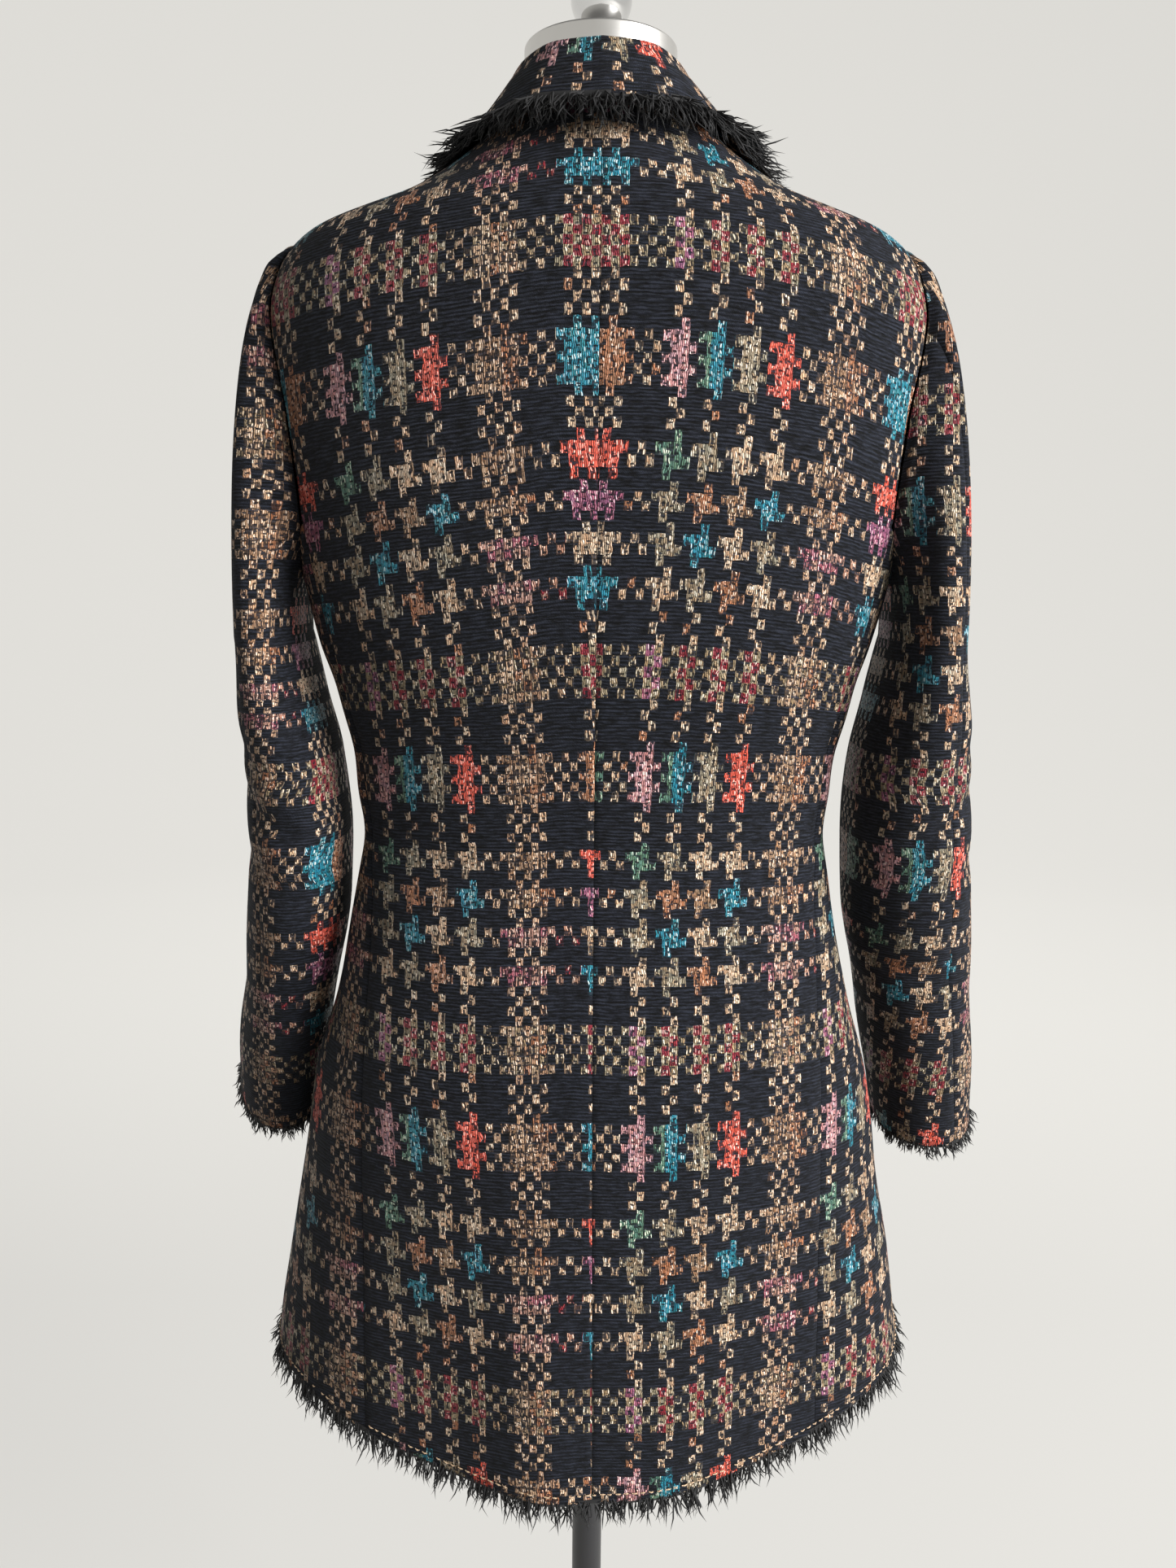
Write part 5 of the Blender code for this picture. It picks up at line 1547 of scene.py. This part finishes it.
class COAT_OT_form(bpy.types.Operator):
    """Build the dress form, its neck plate, knob, pole and base"""
    bl_idname = "coat.form"
    bl_label = "Dress form and stand"

    def execute(self, context):
        curves = {name: Curve(FORM, "z", name) for name in FormRing._fields[1:]}
        rings, steps = 130, 96
        z = np.linspace(FORM[0].z, FORM[-1].z, rings)[:, None]
        a = np.linspace(0.0, math.tau, steps + 1)[None, :-1]
        x = curves["half"](z) * power(np.sin(a), 2.0 / FORM_ROUND)
        reach = np.where(np.cos(a) > 0.0, curves["back"](z), curves["front"](z))
        grid = stack(x, curves["mid"](z) - reach * np.cos(a), z)
        faces = ring_faces(rings, steps)
        faces.append(tuple(reversed(range(steps))))
        faces.append(tuple(range((rings - 1) * steps, rings * steps)))
        torso = new_piece("form_body", grid.reshape(-1, 3), faces, "linen_cover")
        face_out(torso)
        ride(torso, "form_cover", "form_torso")

        low, high = PLATE_Z
        plate = [(0.0, low), (PLATE_R, low), (PLATE_R, high), (0.0, high)]
        foot = high + SEAM
        flange = [(0.0, foot), (FLANGE_R, foot), (FLANGE_R, foot + 0.0032),
                  (FLANGE_R - 0.0035, foot + 0.0052)]
        knob = rounded(flange, 0.0008, 4)
        start = math.asin((FLANGE_R - 0.004) / KNOB_R)
        for k in range(25):
            t = mix(start, math.pi, k / 24.0)
            knob.append((KNOB_R * math.sin(t), KNOB_Z - KNOB_R * math.cos(t)))
        top, bottom = FORM[0].z - SEAM, BASE_T + SEAM
        pole = [(0.0, bottom), (POLE_R, bottom), (POLE_R, top), (0.0, top)]
        base = [(0.0, 0.0), (BASE_R - 0.001, 0.0), (BASE_R, 0.002), (BASE_R, BASE_T - 0.004),
                (BASE_R - 0.004, BASE_T), (0.0, BASE_T)]
        for name, profile, steps, finish, slot, node in (
                ("form_neck_plate", rounded(plate, 0.0016, 6), 128, "brushed_neck",
                 "brushed_metal", "neck_plate"),
                ("form_knob", knob, 96, "polished_knob", "chrome_metal", "neck_knob"),
                ("form_pole", rounded(pole, 0.0008, 4), 64, "stand_paint", "dark_paint",
                 "stand_pole"),
                ("form_base", rounded(base, 0.0012, 5), 160, "stand_paint", "dark_paint",
                 "stand_base")):
            ride(turned(name, profile, steps, finish), slot, node)
        return {"FINISHED"}


class COAT_OT_studio(bpy.types.Operator):
    """Set the plain studio: floor, soft lights and camera"""
    bl_idname = "coat.studio"
    bl_label = "Studio"

    def execute(self, context):
        scene = context.scene
        plain_stage("studio_paint", (0.20, 0.196, 0.186), 0.9, 0.58)
        profile = [(0.0, 0.0), (FLOOR_R, 0.0)]
        for k in range(1, 25):
            t = math.radians(90.0 * k / 24.0)
            profile.append((FLOOR_R + BOWL_R * math.sin(t), BOWL_R - BOWL_R * math.cos(t)))
        profile.append((FLOOR_R + BOWL_R, BOWL_TOP))
        bowl = turned("studio_bowl", [(r, z - FLOOR_GAP) for r, z in profile], 128, "studio_paint")
        bowl.visible_shadow = False
        bowl.visible_diffuse = False
        for row in LAMPS:
            light = bpy.data.lights.new(row.name, "AREA")
            light.shape = "DISK"
            light.size = row.size
            light.energy = row.watts
            light.color = row.colour
            lamp = add_object(row.name, light)
            lamp.visible_camera = False
            lamp.location = row.place
            aim = Vector(row.aim) - Vector(row.place)
            lamp.rotation_euler = aim.to_track_quat("-Z", "Y").to_euler()
        scene.world = bpy.data.worlds.new("studio_air")
        scene.world.use_nodes = True
        background = scene.world.node_tree.nodes["Background"]
        background.inputs["Color"].default_value = AIR
        background.inputs["Strength"].default_value = AIR_STRENGTH
        scene.view_settings.view_transform = "Standard"

        lens = bpy.data.cameras.new("photo_view")
        lens.sensor_fit = "AUTO"
        lens.sensor_width = 36.0
        lens.lens = LENS
        lens.clip_start = 0.05
        lens.clip_end = 60.0
        camera = add_object("photo_view", lens)
        camera.location = CAMERA_AT
        look = Euler((math.radians(90.0 - CAMERA_DOWN), 0.0, 0.0)).to_matrix()
        roll = Matrix.Rotation(math.radians(CAMERA_ROLL), 3, "Z")
        camera.rotation_euler = (look @ roll).to_euler()
        scene.camera = camera
        return {"FINISHED"}


class COAT_PT_panel(bpy.types.Panel):
    """Lists the coat's steps and settings"""
    bl_idname = "COAT_PT_panel"
    bl_label = "Plaid coat"
    bl_space_type = "VIEW_3D"
    bl_region_type = "UI"
    bl_category = "Coat"

    def draw(self, context):
        layout = self.layout
        for settings in (context.scene.coat_settings, context.scene.coat_trim):
            box = layout.box()
            for key in settings.bl_rna.properties.keys():
                if key not in ("rna_type", "name"):
                    box.prop(settings, key)
        for operator in OPERATORS:
            layout.operator(operator.bl_idname)


OPERATORS = (COAT_OT_finishes, COAT_OT_panels, COAT_OT_sleeves, COAT_OT_collar, COAT_OT_fringes,
             COAT_OT_stitches, COAT_OT_buttons, COAT_OT_form, COAT_OT_studio)
CLASSES = (CoatSettings, TrimSettings, *OPERATORS, COAT_PT_panel)


def register():
    for cls in CLASSES:
        bpy.utils.register_class(cls)
    bpy.types.Scene.coat_settings = bpy.props.PointerProperty(type=CoatSettings)
    bpy.types.Scene.coat_trim = bpy.props.PointerProperty(type=TrimSettings)


def unregister():
    del bpy.types.Scene.coat_trim
    del bpy.types.Scene.coat_settings
    for cls in reversed(CLASSES):
        bpy.utils.unregister_class(cls)


def main():
    register()
    bpy.ops.coat.finishes()
    bpy.ops.coat.panels()
    bpy.ops.coat.sleeves()
    bpy.ops.coat.collar()
    bpy.ops.coat.fringes()
    bpy.ops.coat.stitches()
    bpy.ops.coat.buttons()
    bpy.ops.coat.form()
    bpy.ops.coat.studio()
    bpy.context.view_layer.update()


if __name__ == "__main__":
    main()
